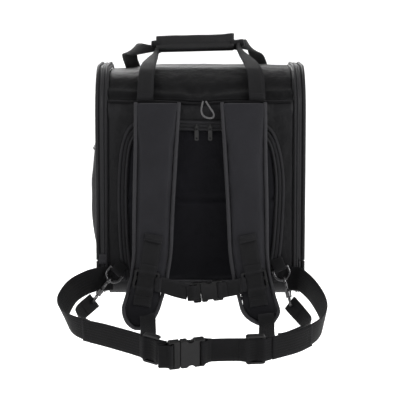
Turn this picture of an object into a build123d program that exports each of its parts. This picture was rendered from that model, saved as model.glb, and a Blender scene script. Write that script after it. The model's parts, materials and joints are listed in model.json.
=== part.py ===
"""Soft-sided pet carrier worn as a backpack, seen with its harness side facing -Y.

All sizes are millimetres. Heights are measured from the underside of the base while the
pieces are made, and save() then moves each piece so that the origin is the carry grip.
"""
from build123d import *
import os

os.makedirs("parts", exist_ok=True)

# ---- driving dimensions of the bag ------------------------------------------------------
HEIGHT = 350.5              # underside to the crest of the top cover
HALF_DEPTH = 120.0          # harness side is y = -HALF_DEPTH
TOP_RADIUS = 75.0           # round of the top cover, seen from the end
BOTTOM_RADIUS = 20.0
WALL = 4.0                  # padded fabric with a foam core
WRAP_HALF = 143.0           # the back, top, front and base run between x = -/+ this
GUSSET_OUT = 152.8          # sewn half of the end gusset ends here
DOOR_IN = 153.2             # zipped half of the gusset starts here
END_OUT = 162.0             # outer face of both end panels
SEAM_Z = 300.0              # top cover meets the back and front here
HINGE_Z = 51.8              # fold line of the end doors
CLEAR = 0.3                 # free play between neighbours
POCKET_HALF = 82.0          # pocket on the left door, half its width
POCKET_T = 1.8
POCKET_SIDE = [(-162.3, 58), (-170, 72), (-175.5, 110), (-176.5, 150), (-173.5, 200), (-170, 222)]   # x, z
PIPE_R = 2.5

# ---- webbing ------------------------------------------------------------------------------
WEB_T = 1.8
BELT_T = 2.6
DOUBLE_T = 3.8              # webbing turned back on itself round a buckle bar
BELT_W = 38.0
STRAP_W = 28.0
THIN_W = 25.0

# ---- handle -------------------------------------------------------------------------------
GRIP_Z = 387.0
GRIP_LEFT, GRIP_RIGHT = -72.0, 54.0
GRIP_TALL, GRIP_THICK = 27.0, 18.0
LEG_GAP = 4.2               # the legs' webbing is turned over at the grip's ends

# ---- shoulder pads ------------------------------------------------------------------------
PAD_T = 9.0
PAD_SIDE = [(-126.8, 298), (-138, 270), (-146, 215), (-150, 140), (-152, 80),
            (-152.5, 40), (-153, 8), (-158, -18), (-166, -46)]      # y, z of the mid-surface
PAD_INNER = [(32, 298), (36, 235), (41, 150), (45, 70), (50, 36), (58, 2), (67, -26)]
PAD_OUTER = [(121, -20), (115, 6), (107, 36), (104, 70), (103, 150), (101, 235), (101, 298)]
PAD_TIP = (98, -46)


def save(piece, label):
    """Moves a finished piece into the row frame, labels it and writes it."""
    shape = piece.part if isinstance(piece, BuildPart) else piece
    placed = Pos(0, 0, -GRIP_Z) * shape
    placed.label = label
    export_step(placed, f"parts/{label}.step")


def group(*shapes):
    """Several separate solids that share one node."""
    return Compound(children=[solid for shape in shapes for solid in shape.solids()])


def mirrored(shape):
    """The same piece on the other side of the bag."""
    return mirror(shape, about=Plane.YZ)


# ---- the bag's shell ----------------------------------------------------------------------
def profile(inset):
    """End view of the bag, moved in from its outside by inset; x is depth and y is height."""
    with BuildSketch() as outline:
        with Locations((0, HEIGHT / 2)):
            Rectangle(2 * (HALF_DEPTH - inset), HEIGHT - 2 * inset)
        fillet(outline.vertices().group_by(Axis.Y)[-1], TOP_RADIUS - inset)
        fillet(outline.vertices().group_by(Axis.Y)[0], BOTTOM_RADIUS - inset)
    return outline.sketch


def ring(start, end):
    """Wall that follows the profile between two stations along x."""
    with BuildPart() as wall:
        with BuildSketch(Plane.YZ.offset(start)):
            add(profile(0))
            add(profile(WALL), mode=Mode.SUBTRACT)
        extrude(amount=end - start)
    return wall.part


def between(shape, low, high, front=None):
    """The part of shape between two heights, and on one side of the middle if front is given."""
    depth = 400.0
    centre_y = 0.0 if front is None else (depth / 2 if front else -depth / 2)
    with BuildPart() as kept:
        add(shape)
        with Locations((0, centre_y, (low + high) / 2)):
            Box(500, depth, high - low, mode=Mode.INTERSECT)
    return kept.part


def rounded_window(plane, centre, size, radius, depth):
    """Tool body for a window with round corners."""
    with BuildPart() as tool:
        with BuildSketch(plane):
            with Locations(centre):
                RectangleRounded(*size, radius)
        extrude(amount=depth, both=True)
    return tool.part


WRAP = ring(-WRAP_HALF, WRAP_HALF)
SEAM_GAP = 0.2
FRONT_WINDOW = (0, 190), (200, 150)          # centre x, z and size


def shell():
    save(between(WRAP, 0, BOTTOM_RADIUS), "base_panel")
    save(between(WRAP, BOTTOM_RADIUS + SEAM_GAP, SEAM_Z, front=False), "back_wall")
    save(between(WRAP, SEAM_Z + SEAM_GAP, HEIGHT + 1), "top_cover")
    front = between(WRAP, BOTTOM_RADIUS + SEAM_GAP, SEAM_Z, front=True)
    window = rounded_window(Plane.XZ.offset(-HALF_DEPTH), *FRONT_WINDOW, 30, 20)
    with BuildPart() as front_wall:
        add(front)
        add(window, mode=Mode.SUBTRACT)
    save(front_wall, "front_wall")
    centre, size = FRONT_WINDOW
    fitted = (size[0] - 1, size[1] - 1)
    save(rounded_window(Plane.XZ.offset(-HALF_DEPTH + WALL / 2), centre, fitted, 29.5, 0.6), "front_mesh")
    with BuildPart() as binding:
        with BuildSketch(Plane.XZ.offset(-HALF_DEPTH - CLEAR)):
            with Locations(centre):
                RectangleRounded(size[0] + 14, size[1] + 14, 37)
                RectangleRounded(size[0] - 4, size[1] - 4, 28, mode=Mode.SUBTRACT)
        extrude(amount=-1.6)
    save(binding, "front_window_binding")
    with BuildPart() as hem:
        with BuildSketch(Plane.YZ.offset(-WRAP_HALF + 2)):
            with Locations((-HALF_DEPTH - 2.2, SEAM_Z + 4.5)):
                RectangleRounded(3.0, 9.0, 1.4)
        extrude(amount=2 * (WRAP_HALF - 2))
    save(hem, "top_hem")


def end_panels():
    """Gussets, sills, pipings, stiffeners and the two zipped end doors."""
    gusset = ring(WRAP_HALF + SEAM_GAP, GUSSET_OUT)
    save(group(gusset, mirrored(gusset)), "end_gussets")

    with BuildPart() as end_cap:
        add(ring(DOOR_IN, END_OUT - WALL))
        with BuildSketch(Plane.YZ.offset(END_OUT - WALL)):
            add(profile(0))
        extrude(amount=WALL)
    sill = between(end_cap.part, 0, HINGE_Z - CLEAR)
    save(group(sill, mirrored(sill)), "end_sills")

    panel = between(end_cap.part, HINGE_Z + CLEAR, HEIGHT + 1)
    plane = Plane.YZ.offset(END_OUT - WALL / 2)
    windows = {"right": ((0, 200), (170, 220), 60), "left": ((0, 280), (150, 84), 30)}
    for side, (centre, size, radius) in windows.items():
        with BuildPart() as frame:
            add(panel)
            add(rounded_window(plane, centre, size, radius, 6), mode=Mode.SUBTRACT)
        mesh = rounded_window(plane, centre, (size[0] - 1, size[1] - 1), radius - 0.5, 0.6)
        place = (lambda s: s) if side == "right" else mirrored
        save(place(frame.part), f"door_{side}_panel")
        save(place(mesh), f"door_{side}_mesh")

    body_pipe = between(piping(WRAP_HALF + 3.6), BOTTOM_RADIUS + 2, HEIGHT + 9)
    save(group(body_pipe, mirrored(body_pipe)), "body_pipings")
    door_pipe = between(piping(END_OUT - 2.2), HINGE_Z + 2, HEIGHT + 9)
    save(door_pipe, "door_right_piping")
    save(mirrored(door_pipe), "door_left_piping")

    hoop = piping(WRAP_HALF + 3, inset=WALL + 2.2, radius=1.6)
    save(group(hoop, mirrored(hoop)), "stiffener_hoops")

    with BuildPart() as pocket:
        with BuildSketch(Plane.XZ.offset(-POCKET_HALF)):
            with BuildLine():
                Polyline(*POCKET_SIDE, (-END_OUT - CLEAR, POCKET_SIDE[-1][1]), close=True)
            make_face()
        extrude(amount=2 * POCKET_HALF)
        with BuildSketch(Plane.XZ.offset(-POCKET_HALF + POCKET_T)):
            with BuildLine():
                inner = [(x + POCKET_T, z + 1) for x, z in POCKET_SIDE[1:]]
                Polyline((-END_OUT, 61), *inner, (-END_OUT, POCKET_SIDE[-1][1] + 1), close=True)
            make_face()
        extrude(amount=2 * (POCKET_HALF - POCKET_T), mode=Mode.SUBTRACT)
    save(pocket, "door_left_pocket")


def piping(station, inset=-PIPE_R - 0.2, radius=PIPE_R):
    """Round cord that runs right round the profile at one station along x."""
    path = Plane.YZ.offset(station) * profile(inset)
    wire = path.faces()[0].outer_wire()
    with BuildPart() as cord:
        with BuildSketch(Plane(origin=wire @ 0, z_dir=wire % 0)):
            Circle(radius)
        sweep(path=wire)
    return cord.part


def base_and_inside():
    """Board and mat that make the floor, and the tether that clips to the pet's collar."""
    inner_half, inner_depth = WRAP_HALF - 2, HALF_DEPTH - WALL - 2
    with BuildPart() as board:
        with BuildSketch(Plane.XY.offset(WALL + CLEAR)):
            RectangleRounded(2 * inner_half, 2 * (inner_depth - 12), 12)
        extrude(amount=2.5)
    save(board, "base_board")
    with BuildPart() as mat:
        with BuildSketch(Plane.XY.offset(WALL + 2 * CLEAR + 2.5)):
            RectangleRounded(2 * (inner_half - 1), 2 * (inner_depth - 8), 14)
        extrude(amount=9)
        fillet(mat.edges().group_by(Axis.Z)[-1], 3)
    save(mat, "floor_mat")

    wall_y = -HALF_DEPTH + WALL + CLEAR
    with BuildPart() as tether:
        with BuildSketch(Plane.XZ.offset(-wall_y)):
            with Locations((100, 150)):
                Rectangle(15, 150)
        extrude(amount=-1.6)
    with BuildPart() as tether_clip:
        with BuildSketch(Plane.XZ.offset(-wall_y)):
            with Locations((100, 60)):
                SlotOverall(28, 15, rotation=90)
                SlotOverall(20, 8, rotation=90, mode=Mode.SUBTRACT)
        extrude(amount=-4)
    save(tether, "tether_strap")
    save(tether_clip, "tether_clip")


# ---- padded back panel, its zip and the hang loop ------------------------------------------
BACK_PAD_HALF, BACK_PAD_LOW, BACK_PAD_TOP, BACK_PAD_R = 115.0, 24.0, 257.0, 32.0
BACK_PAD_T = 3.8
ZIP_BAND = 9.0
ZIP_Z = BACK_PAD_TOP + 1 + ZIP_BAND / 2


def arch(extra):
    """Outline of the padded back panel, grown outwards by extra except at its foot."""
    half, top = BACK_PAD_HALF + extra, BACK_PAD_TOP + extra
    with BuildSketch() as outline:
        with Locations((0, (BACK_PAD_LOW + top) / 2)):
            Rectangle(2 * half, top - BACK_PAD_LOW)
        fillet(outline.vertices().group_by(Axis.Y)[-1], BACK_PAD_R + extra)
    return outline.sketch


def back_panel():
    with BuildPart() as pad:
        with BuildSketch(Plane.XZ.offset(HALF_DEPTH + CLEAR)):
            add(arch(0))
        extrude(amount=BACK_PAD_T)
        fillet(pad.edges().group_by(Axis.Y)[0], 2)
    save(pad, "back_pad")
    with BuildPart() as tape:
        with BuildSketch(Plane.XZ.offset(HALF_DEPTH + CLEAR)):
            add(arch(1 + ZIP_BAND))
            add(arch(1), mode=Mode.SUBTRACT)
        extrude(amount=1.6)
    save(tape, "back_zip_tape")

    loop = [(4, -127, 302), (0.5, -128, 291), (2.5, -129.5, 280), (11, -130.5, 275.5),
            (20, -130, 276), (21, -129.5, 283), (14, -128.5, 292), (8, -127, 302)]
    radii = turn_radii(loop)
    print("hang loop radii", [round(r, 1) for r in radii])
    with BuildPart() as cord:
        with BuildLine() as route:
            FilletPolyline(*loop, radius=radii)
        with BuildSketch(Plane(origin=route.line @ 0, z_dir=route.line % 0)):
            Circle(1.3)
        sweep(path=route.line)
    print("hang loop length", round(sum(e.length for e in route.line.edges()), 1), "volume", round(cord.part.volume, 1))
    save(cord, "hang_loop")


def turn_radii(points):
    """Radius of the arc at each inner corner: 0.45 of the shorter run over tan(half turn)."""
    from math import radians, tan
    corners = []
    for a, b, c in zip(points, points[1:], points[2:]):
        before, after = Vector(*b) - Vector(*a), Vector(*c) - Vector(*b)
        turn = radians(before.get_angle(after))
        corners.append(0.45 * min(before.length, after.length) / tan(turn / 2))
    return corners


# ---- webbing ribbons -------------------------------------------------------------------------
def ribbon(points, across, width, thickness=WEB_T):
    """Webbing through points; across holds the direction of its width at each point."""
    route = [Vector(*p) for p in points]
    with BuildPart() as strap:
        for i, point in enumerate(route):
            ahead = route[min(i + 1, len(route) - 1)] - route[max(i - 1, 0)]
            width_dir = Vector(*across[i])
            width_dir = width_dir - ahead * (width_dir.dot(ahead) / ahead.dot(ahead))
            with BuildSketch(Plane(origin=point, x_dir=width_dir, z_dir=ahead)):
                Rectangle(width, thickness)
        loft(ruled=True)
    return strap.part


def shoulder_straps():
    with BuildPart() as pad:
        with BuildSketch(Plane.YZ):
            with BuildLine():
                near = Spline(*[(y - PAD_T / 2, z) for y, z in PAD_SIDE])
                far = Spline(*[(y + PAD_T / 2, z) for y, z in PAD_SIDE])
                Line(near @ 0, far @ 0)
                Line(near @ 1, far @ 1)
            make_face()
        extrude(amount=130)
        with BuildSketch(Plane.XZ):
            with BuildLine():
                inner = Spline(*PAD_INNER)
                outer = Spline(*PAD_OUTER)
                foot = Spline(inner @ 1, PAD_TIP, outer @ 0,
                              tangents=(inner % 1, outer % 0))
                Line(outer @ 1, inner @ 0)
            make_face()
        extrude(amount=220, mode=Mode.INTERSECT)
    save(pad, "shoulder_pad_right")
    save(mirrored(pad.part), "shoulder_pad_left")

    face = [(71.5, -158.5, 97), (75.5, -160.5, 75), (78.5, -161.5, 58), (88, -161.5, 4),
            (91.5, -166.5, -16), (94, -174, -32)]
    facing = [(1, 0, 0.18)] * len(face)
    webbing = ribbon(face, facing, STRAP_W)
    save(group(webbing, mirrored(webbing)), "shoulder_webbings")


# ---- threaded hardware ------------------------------------------------------------------------
BAR = 2.2
RAIL = 3.2


def slide_frame(webbing, play, length, layers=1):
    """Two-slot adjuster: the webbing runs under both outer bars and over the middle bar.

    It is made round the webbing, which runs along x with its face towards z.
    """
    half_web = webbing / 2 + play
    stack = layers * WEB_T / 2 + 0.45
    with BuildPart() as frame:
        with BuildSketch(Plane.XY.offset(-stack - BAR)):
            RectangleRounded(length, 2 * (half_web + RAIL), 4.5)
            Rectangle(length + 1, 2 * half_web, mode=Mode.SUBTRACT)
        extrude(amount=2 * (stack + BAR))
        with BuildSketch(Plane.XY.offset(stack)):
            with Locations((-length / 2 + 2.1, 0), (length / 2 - 2.1, 0)):
                Rectangle(4.2, 2 * half_web + 1)
        extrude(amount=BAR)
        with BuildSketch(Plane.XY.offset(-stack - BAR)):
            Rectangle(5.5, 2 * half_web + 1)
        extrude(amount=BAR)
        fillet(frame.edges().filter_by(Axis.Y).group_by(Axis.Z)[-1], 0.9)
    return frame.part


class Buckle:
    """Side-release buckle. Its socket opens towards -x at x = 0, and its face is +z."""

    def __init__(self, webbing, body, base, thick):
        self.tall = webbing + 6.5
        self.body, self.base, self.thick = body, base, thick
        self.cavity = body - 11.5
        self.slot = webbing + 1.0
        self.arm_y = self.tall / 2 - 7.4
        self.pivot = 1.6

    def socket(self):
        wall, skin = 2.0, 1.9
        window = (self.cavity * 0.62, self.tall / 2 + 3.2)
        with BuildPart() as socket:
            with BuildSketch(Plane.XY.offset(-self.thick / 2)):
                with Locations((self.body / 2, 0)):
                    RectangleRounded(self.body, self.tall, 3)
            extrude(amount=self.thick)
            fillet(socket.edges().group_by(Axis.Z)[-1] + socket.edges().group_by(Axis.Z)[0], 1.6)
            with BuildSketch(Plane.XY.offset(-self.thick / 2 + skin)):
                with Locations((self.cavity / 2 - 1, 0)):
                    Rectangle(self.cavity + 2, self.tall - 2 * wall)
            extrude(amount=self.thick - 2 * skin, mode=Mode.SUBTRACT)
            with BuildSketch(Plane.XY.offset(-self.thick)):
                with Locations((window[0], window[1]), (window[0], -window[1])):
                    Ellipse(self.cavity * 0.27, 7.2)
                with Locations((self.body - 6.4, 0)):
                    RectangleRounded(4.6, self.slot, 1.2)
            extrude(amount=2 * self.thick, mode=Mode.SUBTRACT)
        return socket.part

    def plug(self):
        tongue = self.cavity - 1.5
        with BuildPart() as plug:
            with BuildSketch(Plane.XY.offset(-self.thick / 2 + 0.8)):
                with Locations((-self.base / 2 - CLEAR, 0)):
                    RectangleRounded(self.base, self.tall, 2.6)
                with Locations((-self.base + 5.2, 0)):
                    RectangleRounded(5.0, self.slot, 1.2, mode=Mode.SUBTRACT)
            extrude(amount=self.thick - 1.6)
            fillet(plug.edges().group_by(Axis.Z)[-1].filter_by(GeomType.CIRCLE, reverse=True), 0.8)
            with BuildSketch(Plane.XY.offset(-self.thick / 2 + 2.6)):
                with Locations((tongue / 2 - 0.6, 0)):
                    RectangleRounded(tongue + 0.6, 5, 1.2)
            extrude(amount=self.thick - 5.2)
        return plug.part

    def arm(self):
        """Upper release arm; the lower one is its mirror image."""
        tip, outer = self.cavity - 2.2, self.tall / 2 - 2.4
        y = self.arm_y
        with BuildPart() as arm:
            with BuildSketch(Plane.XY.offset(-self.thick / 2 + 2.7)):
                with BuildLine():
                    Polyline((0.3, y - 1.6), (tip * 0.55, y - 1.3), (tip, y + 1.2), (tip, outer - 1),
                             (tip - 1.6, outer), (tip * 0.42, outer), (tip * 0.36, y + 1.6),
                             (0.3, y + 1.6), close=True)
                make_face()
            extrude(amount=self.thick - 5.4)
        return arm.part


def at(origin, along, facing):
    """Location whose x is along and whose z is facing."""
    return Plane(origin=origin, x_dir=along, z_dir=facing).location


STERNUM = Buckle(THIN_W, 34.0, 12.5, 9.0)
STERNUM_AT = at((0.5, -163, 9.2), (1, 0, 0.11), (0, -1, 0))
WAIST = Buckle(BELT_W, 37.0, 17.0, 11.0)
SLIDER_AT = at((83.8, -161.5, 28), (-0.173, 0, 0.985), (0, -1, 0))


def sternum_strap():
    slider = SLIDER_AT * slide_frame(STRAP_W, 2.3, 30.0)
    save(group(slider, mirrored(slider)), "sternum_sliders")
    upright = [(0, 0, 1)] * 3
    save(ribbon([(-62.5, -163, 21.4), (-41, -163, 14.5), (-17, -163, 8.5)], upright, THIN_W), "sternum_strap_left")
    save(ribbon([(37, -163, 13), (52, -163, 16), (63.8, -163, 18.8)], upright, THIN_W), "sternum_strap_right")
    save(STERNUM_AT * STERNUM.socket(), "sternum_socket")
    save(STERNUM_AT * STERNUM.plug(), "sternum_plug")
    save(STERNUM_AT * STERNUM.arm(), "sternum_arm_upper")
    save(STERNUM_AT * mirror(STERNUM.arm(), about=Plane.XZ), "sternum_arm_lower")


# ---- waist belt ---------------------------------------------------------------------------------
# The belt's loop droops in front of the harness side; across leans outwards at its top.
BELT_LEFT = [(-150, -128.2, 24), (-157, -130.6, 24), (-175.5, -139.5, 20.5), (-196.5, -166, 12), (-207.5, -200, -1),
             (-207, -227, -12), (-196.5, -251.5, -20), (-174, -269, -27), (-141, -285, -32), (-108, -301, -37.5),
             (-84, -314, -42), (-58, -328, -46.8)]
LEAN_LEFT = [(0, 0, 1), (0, 0, 1), (-0.1, -0.05, 1), (-0.3, -0.1, 1), (-0.45, -0.15, 1), (-0.45, -0.2, 1),
             (-0.35, -0.25, 1), (-0.2, -0.28, 1), (-0.1, -0.28, 1), (-0.05, -0.28, 1), (0, -0.28, 1),
             (0, -0.28, 1)]
BELT_RIGHT = [(150, -128.2, 24), (155, -132.2, 23.6), (166, -150, 17), (178, -182, 6), (185, -212, -5),
              (186.5, -240, -15), (179, -265, -24), (163, -286, -31.5), (140, -302, -38), (104, -320, -43.5),
              (66, -324, -45.5)]
LEAN_RIGHT = [(0, 0, 1), (0, 0, 1), (0.08, -0.05, 1), (0.16, -0.1, 1), (0.2, -0.15, 1), (0.2, -0.2, 1),
              (0.16, -0.25, 1), (0.1, -0.28, 1), (0.05, -0.28, 1), (0, -0.28, 1), (0, -0.28, 1)]
WAIST_AT = at((-30, -335.5, -49.3), (0.965, 0.25, 0.07), (0.24, -0.93, -0.26))


def waist_belt():
    save(ribbon(BELT_LEFT, LEAN_LEFT, BELT_W, BELT_T), "waist_belt_left")
    save(ribbon(BELT_RIGHT, LEAN_RIGHT, BELT_W, BELT_T), "waist_belt_right")
    double = [(9.5, -324.7, -46.4), (36, -324, -45.6), (62.5, -324, -45.5)]
    save(ribbon(double, [(0, -0.28, 1)] * 3, BELT_W, DOUBLE_T), "waist_socket_webbing")
    left = at((-71, -321, -44.4), (0.87, -0.475, -0.16), (-0.47, -0.85, -0.25))
    right = at((80, -322.7, -44.9), (1, 0.09, 0.03), (0.08, -0.95, -0.27))
    save(group(left * slide_frame(BELT_W, 0.8, 27.0, 1.6), right * slide_frame(BELT_W, 0.8, 29.0, 1.6)),
         "waist_adjusters")
    save(WAIST_AT * WAIST.socket(), "waist_socket")
    save(WAIST_AT * WAIST.plug(), "waist_plug")
    save(WAIST_AT * WAIST.arm(), "waist_arm_upper")
    save(WAIST_AT * mirror(WAIST.arm(), about=Plane.XZ), "waist_arm_lower")


# ---- snap hooks, D-rings and the straps' lower webbing ----------------------------------------
RING_R = 1.9
RING_TIP = 9.0              # ring centre to the middle of its curved wire
HOOK_R = 2.1
HOOK_SEAT = 2.1             # bow centre to the ring's wire, measured along the hook
HOOK_EYE = 36.5             # bow centre to the middle of the webbing loop
TAB_LIFT = 6.4              # the ring's tab crosses over the padded back panel
CORNERS = {                 # ring centre, ring centre to tip, across the ring, hook's tail to its bow
    "left": ((-137, -134.5, 29), (-0.64, -0.30, -0.70), (-0.74, 0, 0.67), (0.60, 0.32, 0.73)),
    "right": ((128, -134.5, 32), (0.38, -0.26, -0.89), (0.92, 0, 0.39), (-0.22, 0.36, 0.90)),
}


def ring_plane(side):
    centre, tip, across, _ = CORNERS[side]
    across = Vector(*across) - Vector(*tip) * (Vector(*across).dot(Vector(*tip)) / Vector(*tip).dot(Vector(*tip)))
    return Plane(origin=centre, x_dir=tip, z_dir=Vector(*tip).cross(across))


def hook_plane(side):
    """The hook's own frame: z runs from the webbing loop to the bow, and the gate is on its -x side."""
    ring = ring_plane(side)
    along = Vector(*CORNERS[side][3]).normalized()
    seat = ring.origin + ring.x_dir * RING_TIP - along * HOOK_SEAT
    flat = along.cross(ring.y_dir)
    return Plane(origin=seat, x_dir=flat if flat.Y > 0 else -flat, z_dir=along)


def hook_body():
    bow = [(2.4, -19), (6.8, -13), (6.8, 2.5), (0, 8.2), (-6.8, 2.5), (-6.8, -3)]
    with BuildPart() as hook:
        with BuildLine(Plane.XZ) as route:
            FilletPolyline(*bow, radius=[4, 6, 5.5, 6])
        with BuildSketch(Plane(origin=route.line @ 0, z_dir=route.line % 0)):
            Circle(HOOK_R)
        sweep(path=route.line)
        with BuildSketch(Plane.XY.offset(-27)):
            Circle(4.6)
        extrude(amount=9)
        fillet(hook.edges().group_by(Axis.Z)[0], 1)
    return hook.part


def hook_gate():
    """Sprung lever that closes the bow; it turns about y at its lower end."""
    with BuildPart() as gate:
        with BuildSketch(Plane.XZ.offset(-1.4)):
            with BuildLine():
                Polyline((-7.9, -5.6), (-5.6, -5.6), (-4.9, -15.5), (-6.6, -17.2), (-10.4, -13.5),
                         (-8.6, -12), close=True)
            make_face()
        extrude(amount=2.8)
    return gate.part


def hook_eye():
    """Swivel post and the rectangular loop that holds the webbing."""
    with BuildPart() as eye:
        with BuildSketch(Plane.XY.offset(-31.5)):
            Circle(2.3)
        extrude(amount=4.2)
        with BuildSketch(Plane.XZ.offset(-1.6)):
            with Locations((0, -36.5)):
                RectangleRounded(THIN_W + 8, 12, 3)
                RectangleRounded(THIN_W + 2, 6, 1, mode=Mode.SUBTRACT)
        extrude(amount=3.2)
    return eye.part


def d_ring():
    """D-shaped wire ring in the xy plane, its straight side towards -x."""
    with BuildPart() as ring_part:
        with BuildLine() as wire:
            straight = Line((-9, -12), (-9, 12))
            Line(straight @ 1, (-3, 12))
            ThreePointArc((-3, 12), (RING_TIP, 0), (-3, -12))
            Line((-3, -12), straight @ 0)
        with BuildSketch(Plane(origin=straight @ 0.5, z_dir=straight % 0.5)):
            Circle(RING_R)
        sweep(path=wire.line, transition=Transition.RIGHT)
    return ring_part.part


def anchors():
    rings, tabs, bodies, eyes = [], [], [], []
    for side in CORNERS:
        ring = ring_plane(side)
        rings.append(ring.location * d_ring())
        bar = ring.origin - ring.x_dir * (9 + RING_R + 2.6)
        inward = bar - ring.x_dir * 16
        inward = Vector(inward.X, -HALF_DEPTH - TAB_LIFT, inward.Z)
        tabs.append(ribbon([inward, (inward + bar) * 0.5, bar], [ring.y_dir] * 3, 20, 3.2))
        place = hook_plane(side).location
        bodies.append(place * hook_body())
        eyes.append(place * hook_eye())
        save(place * hook_gate(), f"hook_gate_{side}")
    save(group(*rings), "d_rings")
    save(group(*bodies), "hook_bodies")
    save(group(*eyes), "hook_eyes")
    belt_end = ribbon([(137.5, -124.6, 24), (143, -126.2, 24), (147.4, -127.3, 24)], [(0, 0, 1)] * 3, BELT_W)
    save(group(*tabs, belt_end, mirrored(belt_end)), "corner_webbings")

    left = [(-172.5, -153.5, -10), (-176, -180, -18), (-178, -205, -24), (-172, -228, -28), (-157, -247, -32),
            (-136, -260, -37), (-114, -266, -43), (-96, -254, -50), (-88, -226, -51), (-90, -195, -45),
            (-94, -180, -37)]
    left_across = [(-0.5, 0.2, 0.9), (-0.4, 0, 0.9), (-0.2, 0, 1), (-0.1, -0.1, 1), (0, -0.2, 1),
                   (0, -0.2, 1), (-0.35, -0.1, 0.9), (-0.8, 0, 0.6), (-1, 0, 0.3), (-1, 0, 0.2),
                   (-1, 0, 0.2)]
    right = [(152.5, -155, -19), (163, -180, -19), (170, -206, -20), (168, -232, -24), (158, -255, -29),
             (140, -275, -34), (118, -286, -41), (99, -270, -48), (90, -236, -49), (90, -200, -44),
             (93, -180, -36)]
    right_across = [(-x, y, z) for x, y, z in left_across]
    save(group(ribbon(left, left_across, THIN_W), ribbon(right, right_across, THIN_W)), "strap_tails")


# ---- zip sliders --------------------------------------------------------------------------------
def zip_slider():
    """Slider whose back lies on y = 0 and whose arch stands towards -y."""
    with BuildPart() as slider:
        with BuildSketch(Plane.XZ):
            RectangleRounded(7.0, 9.4, 2.2)
        extrude(amount=1.6)
        with BuildSketch(Plane.XZ.offset(1.6)):
            with Locations((0, 2.5), (0, -2.5)):
                Rectangle(2, 0.9)
        extrude(amount=3.2)
        with BuildSketch(Plane.XZ.offset(4.6)):
            RectangleRounded(2, 5.9, 0.8)
        extrude(amount=1.0)
    return slider.part


def zip_pull():
    """Pull tab; it turns about x on its round bar inside the slider's arch."""
    with BuildPart() as pull:
        with BuildSketch(Plane.YZ.offset(-2.5)):
            with Locations((-3.0, 0)):
                Circle(0.75)
        extrude(amount=5)
        with BuildSketch(Plane.XZ.offset(2.4)):
            with Locations((1.9, -3), (-1.9, -3)):
                Rectangle(1.2, 7)
            with Locations((0, -14)):
                RectangleRounded(6.4, 16, 2)
            with Locations((0, -18.4)):
                Circle(1.3, mode=Mode.SUBTRACT)
        extrude(amount=1.2)
    return pull.part


def zips():
    back_y = -HALF_DEPTH - 2 * CLEAR - 1.6
    places = {
        "back_left": Location((-6, back_y, ZIP_Z)),
        "back_right": Location((15, back_y, ZIP_Z)),
        "door_left": Location((-DOOR_IN + 0.2, HALF_DEPTH + CLEAR, 84), (0, 0, 180)),
        "door_right": Location((DOOR_IN - 0.2, HALF_DEPTH + CLEAR, 84), (0, 0, 180)),
    }
    for name, place in places.items():
        save(place * zip_slider(), f"zip_slider_{name}")
        save(place * zip_pull(), f"zip_pull_{name}")


# ---- carry handle -------------------------------------------------------------------------------
def handle():
    with BuildPart() as grip:
        with BuildSketch(Plane.YZ.offset(GRIP_LEFT)):
            with Locations((0, GRIP_Z)):
                RectangleRounded(GRIP_THICK, GRIP_TALL, 8)
        extrude(amount=GRIP_RIGHT - GRIP_LEFT)
    save(grip, "handle_grip")
    left_x, right_x = GRIP_LEFT - LEG_GAP, GRIP_RIGHT + LEG_GAP
    flat = [(1, 0, 0)] * 4
    legs = [
        ([(-85, -127.5, 304), (-85, -121, 326), (-84, -103, 346), (-81, -78, 359), (-78, -48, 366),
          (-77, -22, 372), (left_x, -5.5, 378)], flat + [(0.9, 0, 0.5), (0.5, 0.2, 1), (0, 0, 1)]),
        ([(88, -127.5, 304), (87, -121, 326), (84, -103, 347), (78, -78, 362), (69, -48, 372),
          (62, -22, 378), (right_x, -5.5, 382)], flat + [(0.9, 0, -0.5), (0.5, -0.2, -1), (0, 0, -1)]),
        ([(-108, 127.5, 304), (-112, 121, 326), (-116, 103, 345), (-119, 76, 362), (-114, 48, 374),
          (-98, 22, 378), (left_x, 5.5, 380)], flat + [(0.8, 0, 0.5), (0.3, 0.3, 1), (0, 0, 1)]),
        ([(104, 127.5, 304), (104, 121, 326), (101, 103, 347), (95, 76, 362), (87, 48, 375),
          (75, 22, 380), (right_x, 5.5, 382)], flat + [(0.8, 0, -0.5), (0.3, -0.3, -1), (0, 0, -1)]),
    ]
    save(group(*[ribbon(points, across, THIN_W) for points, across in legs]), "handle_webbings")


shell()
end_panels()
base_and_inside()
back_panel()
shoulder_straps()
sternum_strap()
waist_belt()
anchors()
zips()
handle()
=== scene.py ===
"""Looks of the backpack pet carrier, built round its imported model. Lengths below are in
millimetres, with heights above the underside of the base; place() turns them into the frame."""
import bpy
import bmesh
import json
import math
import numpy as np
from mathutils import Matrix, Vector, noise


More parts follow.
